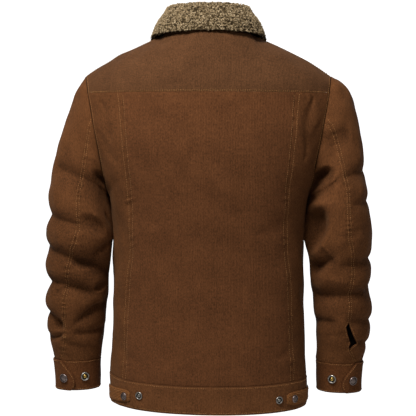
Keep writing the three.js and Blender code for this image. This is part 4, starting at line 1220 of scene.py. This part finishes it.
for edge in (-1, 1):
    up = np.linspace(0.01, PLACKET_TOP - 0.01, 200)
    across = np.full(200, edge * (PLACKET_HALF - 0.011))
    back_lines.append(body_row(-1, across, up, PLACKET_LIFT + STRIP_WALL))
for name, t in TABS.items():
    across, up = tab_points(name, 12, 10)
    inner = slice(0, -3)
    p, n = on_body(1, across, up, TAB_LIFT)
    loop_p = np.concatenate([p[:-4, 4], p[-4, 4:-4], p[:-4, -5][::-1]])
    loop_n = np.concatenate([n[:-4, 4], n[-4, 4:-4], n[:-4, -5][::-1]])
    back_lines.append((loop_p, loop_n))
stitches(back_lines, "stitches_body")

BAR_AT = 15.05
sleeve_lines = []
for arm in ARMS.values():
    ats = np.linspace(0.12, CUFF_AT - 0.08, 260)
    edges = np.array([seam_edges(arm, at) for at in ats])
    for column, sign in ((0, -1), (1, 1)):
        for off in (2.4,):
            wander = 0.7 * ripple(ats * 35, 26, 58 - 3 * column)
            sleeve_lines.append(on_sleeve(arm, ats, edges[:, column] + sign * off * 1.1 + wander))
    sleeve_lines.append(cuff_point(arm, np.full(120, 0.055), np.linspace(60, 404, 120)))
    sleeve_lines.append(cuff_point(arm, np.full(120, 0.945), np.linspace(90, 418, 120)))
    down = np.linspace(0.06, 0.93, 30)
    sleeve_lines.append(cuff_point(arm, down, cuff_end(down) - 3.2))
stitches(sleeve_lines, "stitches_sleeves")
# A bar of close stitches shuts the top of the vent on the left sleeve
left_seam = float(seam_angle(ARMS["left"], BAR_AT))
bar_lines = [
    on_sleeve(ARMS["left"], np.full(12, BAR_AT + rise), left_seam + np.linspace(-5, 5, 12), 0.3)
    for rise in (-0.03, 0.0, 0.03)
]
stitches(bar_lines, "stitches_bar", 1.6, 1.5, 1.1)


# Snaps: rings of a profile, as shares of the radius and the height, with the metal of each
CAP = [
    (0, 0, 0), (0.95, 0, 0), (1, 0.25, 0), (1, 0.55, 0), (0.94, 0.82, 0), (0.86, 0.95, 0),
    (0.78, 0.92, 0), (0.73, 0.7, 1), (0.66, 0.68, 1), (0.61, 0.84, 0), (0.4, 0.93, 0), (0, 0.98, 0),
]
STUD = [
    (0, 0, 0), (0.95, 0, 0), (1, 0.3, 0), (0.99, 0.66, 0), (0.9, 0.93, 0), (0.78, 0.96, 0),
    (0.68, 0.8, 0), (0.62, 0.35, 1), (0.46, 0.3, 1), (0.42, 0.5, 2), (0.38, 0.86, 2), (0.24, 1.0, 2),
    (0, 0.92, 2),
]
SNAP_SIDES = 36


def snap(name, foot, out, radius, height, profile, metals):
    out = Vector(out)
    turn = out.to_track_quat("Z", "Y").to_matrix()
    axes = np.array([turn.col[0][:], turn.col[1][:], turn.col[2][:]])
    angles = np.linspace(0, 360, SNAP_SIDES, endpoint=False)
    points = []
    for r, h, _ in profile:
        local = np.stack([radius * r * cosd(angles), radius * r * sind(angles), np.full(SNAP_SIDES, height * h)], -1)
        points.append(foot + local @ axes)
    points = np.array(points)
    faces, which = [], []
    for ring in range(len(profile) - 1):
        j = np.arange(SNAP_SIDES)
        a, b = ring * SNAP_SIDES + j, ring * SNAP_SIDES + (j + 1) % SNAP_SIDES
        faces.append(np.stack([a, b, b + SNAP_SIDES, a + SNAP_SIDES], 1))
        which += [int(profile[ring + 1][2])] * SNAP_SIDES
    obj = make(f"snap_{name}", points, np.concatenate(faces), metals, which=which, smooth_angle=60)
    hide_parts(name)
    return obj


def body_snap(name, side, x, z, lift, profile, metals):
    up = float(up_at(z))
    across = math.copysign(float(across_at(side, up, abs(x))), x)
    p, n = on_body(side, across, up)
    snap(name, p + n * (lift + 0.2), n, 7.3, 2.8, profile, metals)


def cuff_snap(name, arm, angle, down, lift, profile, metals):
    p, n = cuff_point(arm, down, angle)
    below, _ = cuff_point(arm, down + 0.05, angle)
    beside, _ = cuff_point(arm, down, angle + 1.0)
    square = unit(np.cross(below - p, beside - p))
    square *= np.sign((square * n).sum())
    snap(name, p + square * lift, square, 8.5, 3.2, profile, metals)


for side, t in TABS.items():
    m = t["mirror"]
    body_snap(f"tab_snap_{side}", 1, m * t["snap"][0], t["snap"][1], TAB_LIFT, CAP, [GREY, RECESS_SHADE])
    body_snap(f"band_snap_{side}", 1, m * t["spare"][0], t["spare"][1], BAND_LIFT, STUD, [STEEL, RECESS_SHADE, STEEL])
for arm in ARMS.values():
    cuff_snap(f"cuff_snap_lap_{arm['name']}", arm, 58 + 360, 0.57, 0.2, CAP, [GREY, RECESS_SHADE])
    cuff_snap(f"cuff_snap_spare_{arm['name']}", arm, 110, 0.52, 0.2, STUD, [STEEL, RECESS_SHADE, BRASS])
for i, z in enumerate(FRONT_SNAP_Z):
    body_snap(f"front_snap_{i + 1}", -1, 1e-3, z, PLACKET_LIFT + STRIP_WALL, CAP, [GREY, RECESS_SHADE])

# Floor, camera and light
bpy.ops.mesh.primitive_plane_add(size=6.6, location=(0, 0, -1.45))
floor = bpy.context.object
floor.name = "floor"
floor_material, floor_tree, floor_shader = new_material("floor_pale", 0.9)
floor_grain = noise(floor_tree, position(floor_tree), 3, detail=2.0)
floor_stops = [(0.2, (0.6, 0.6, 0.59)), (0.8, (0.66, 0.66, 0.65))]
floor_tree.links.new(plain_ramp(floor_tree, floor_grain, floor_stops), floor_shader.inputs["Base Color"])
floor.data.materials.append(floor_material)
bpy.ops.mesh.primitive_plane_add(size=16, location=(0, -7, 0), rotation=(math.radians(90), 0, 0))
backdrop = bpy.context.object
backdrop.name = "backdrop"
backdrop_material, _, backdrop_shader = new_material("backdrop_white", 1.0)
backdrop_shader.inputs["Base Color"].default_value = (0.8, 0.8, 0.8, 1)
backdrop_shader.inputs["Emission Color"].default_value = (1, 1, 1, 1)
backdrop_shader.inputs["Emission Strength"].default_value = 0.95
backdrop.data.materials.append(backdrop_material)

camera_data = bpy.data.cameras.new("camera")
camera_data.sensor_width = 36
camera_data.lens = 156.4
camera = bpy.data.objects.new("camera", camera_data)
camera.location = (0.00095, 3.4, 0.013)
camera.rotation_euler = (math.radians(90 - 5.485), 0, math.pi)
bpy.context.scene.collection.objects.link(camera)
bpy.context.scene.camera = camera

world = bpy.data.worlds.new("studio")
bpy.context.scene.world = world
world.use_nodes = True
world.node_tree.nodes["Background"].inputs["Color"].default_value = (1, 1, 1, 1)
world.node_tree.nodes["Background"].inputs["Strength"].default_value = 0.16


def area_light(name, place, aim, size, power):
    light = bpy.data.lights.new(name, "AREA")
    light.size = size
    light.energy = power
    obj = bpy.data.objects.new(name, light)
    obj.location = place
    obj.rotation_euler = (Vector(aim) - Vector(place)).to_track_quat("-Z", "Y").to_euler()
    bpy.context.scene.collection.objects.link(obj)


area_light("key", (0.75, 1.4, 1.75), (0, 0, -0.25), 0.9, 112)
area_light("fill", (-1.6, 2.7, 0.8), (0, 0, -0.35), 1.6, 15)
bpy.context.scene.view_settings.view_transform = "Standard"
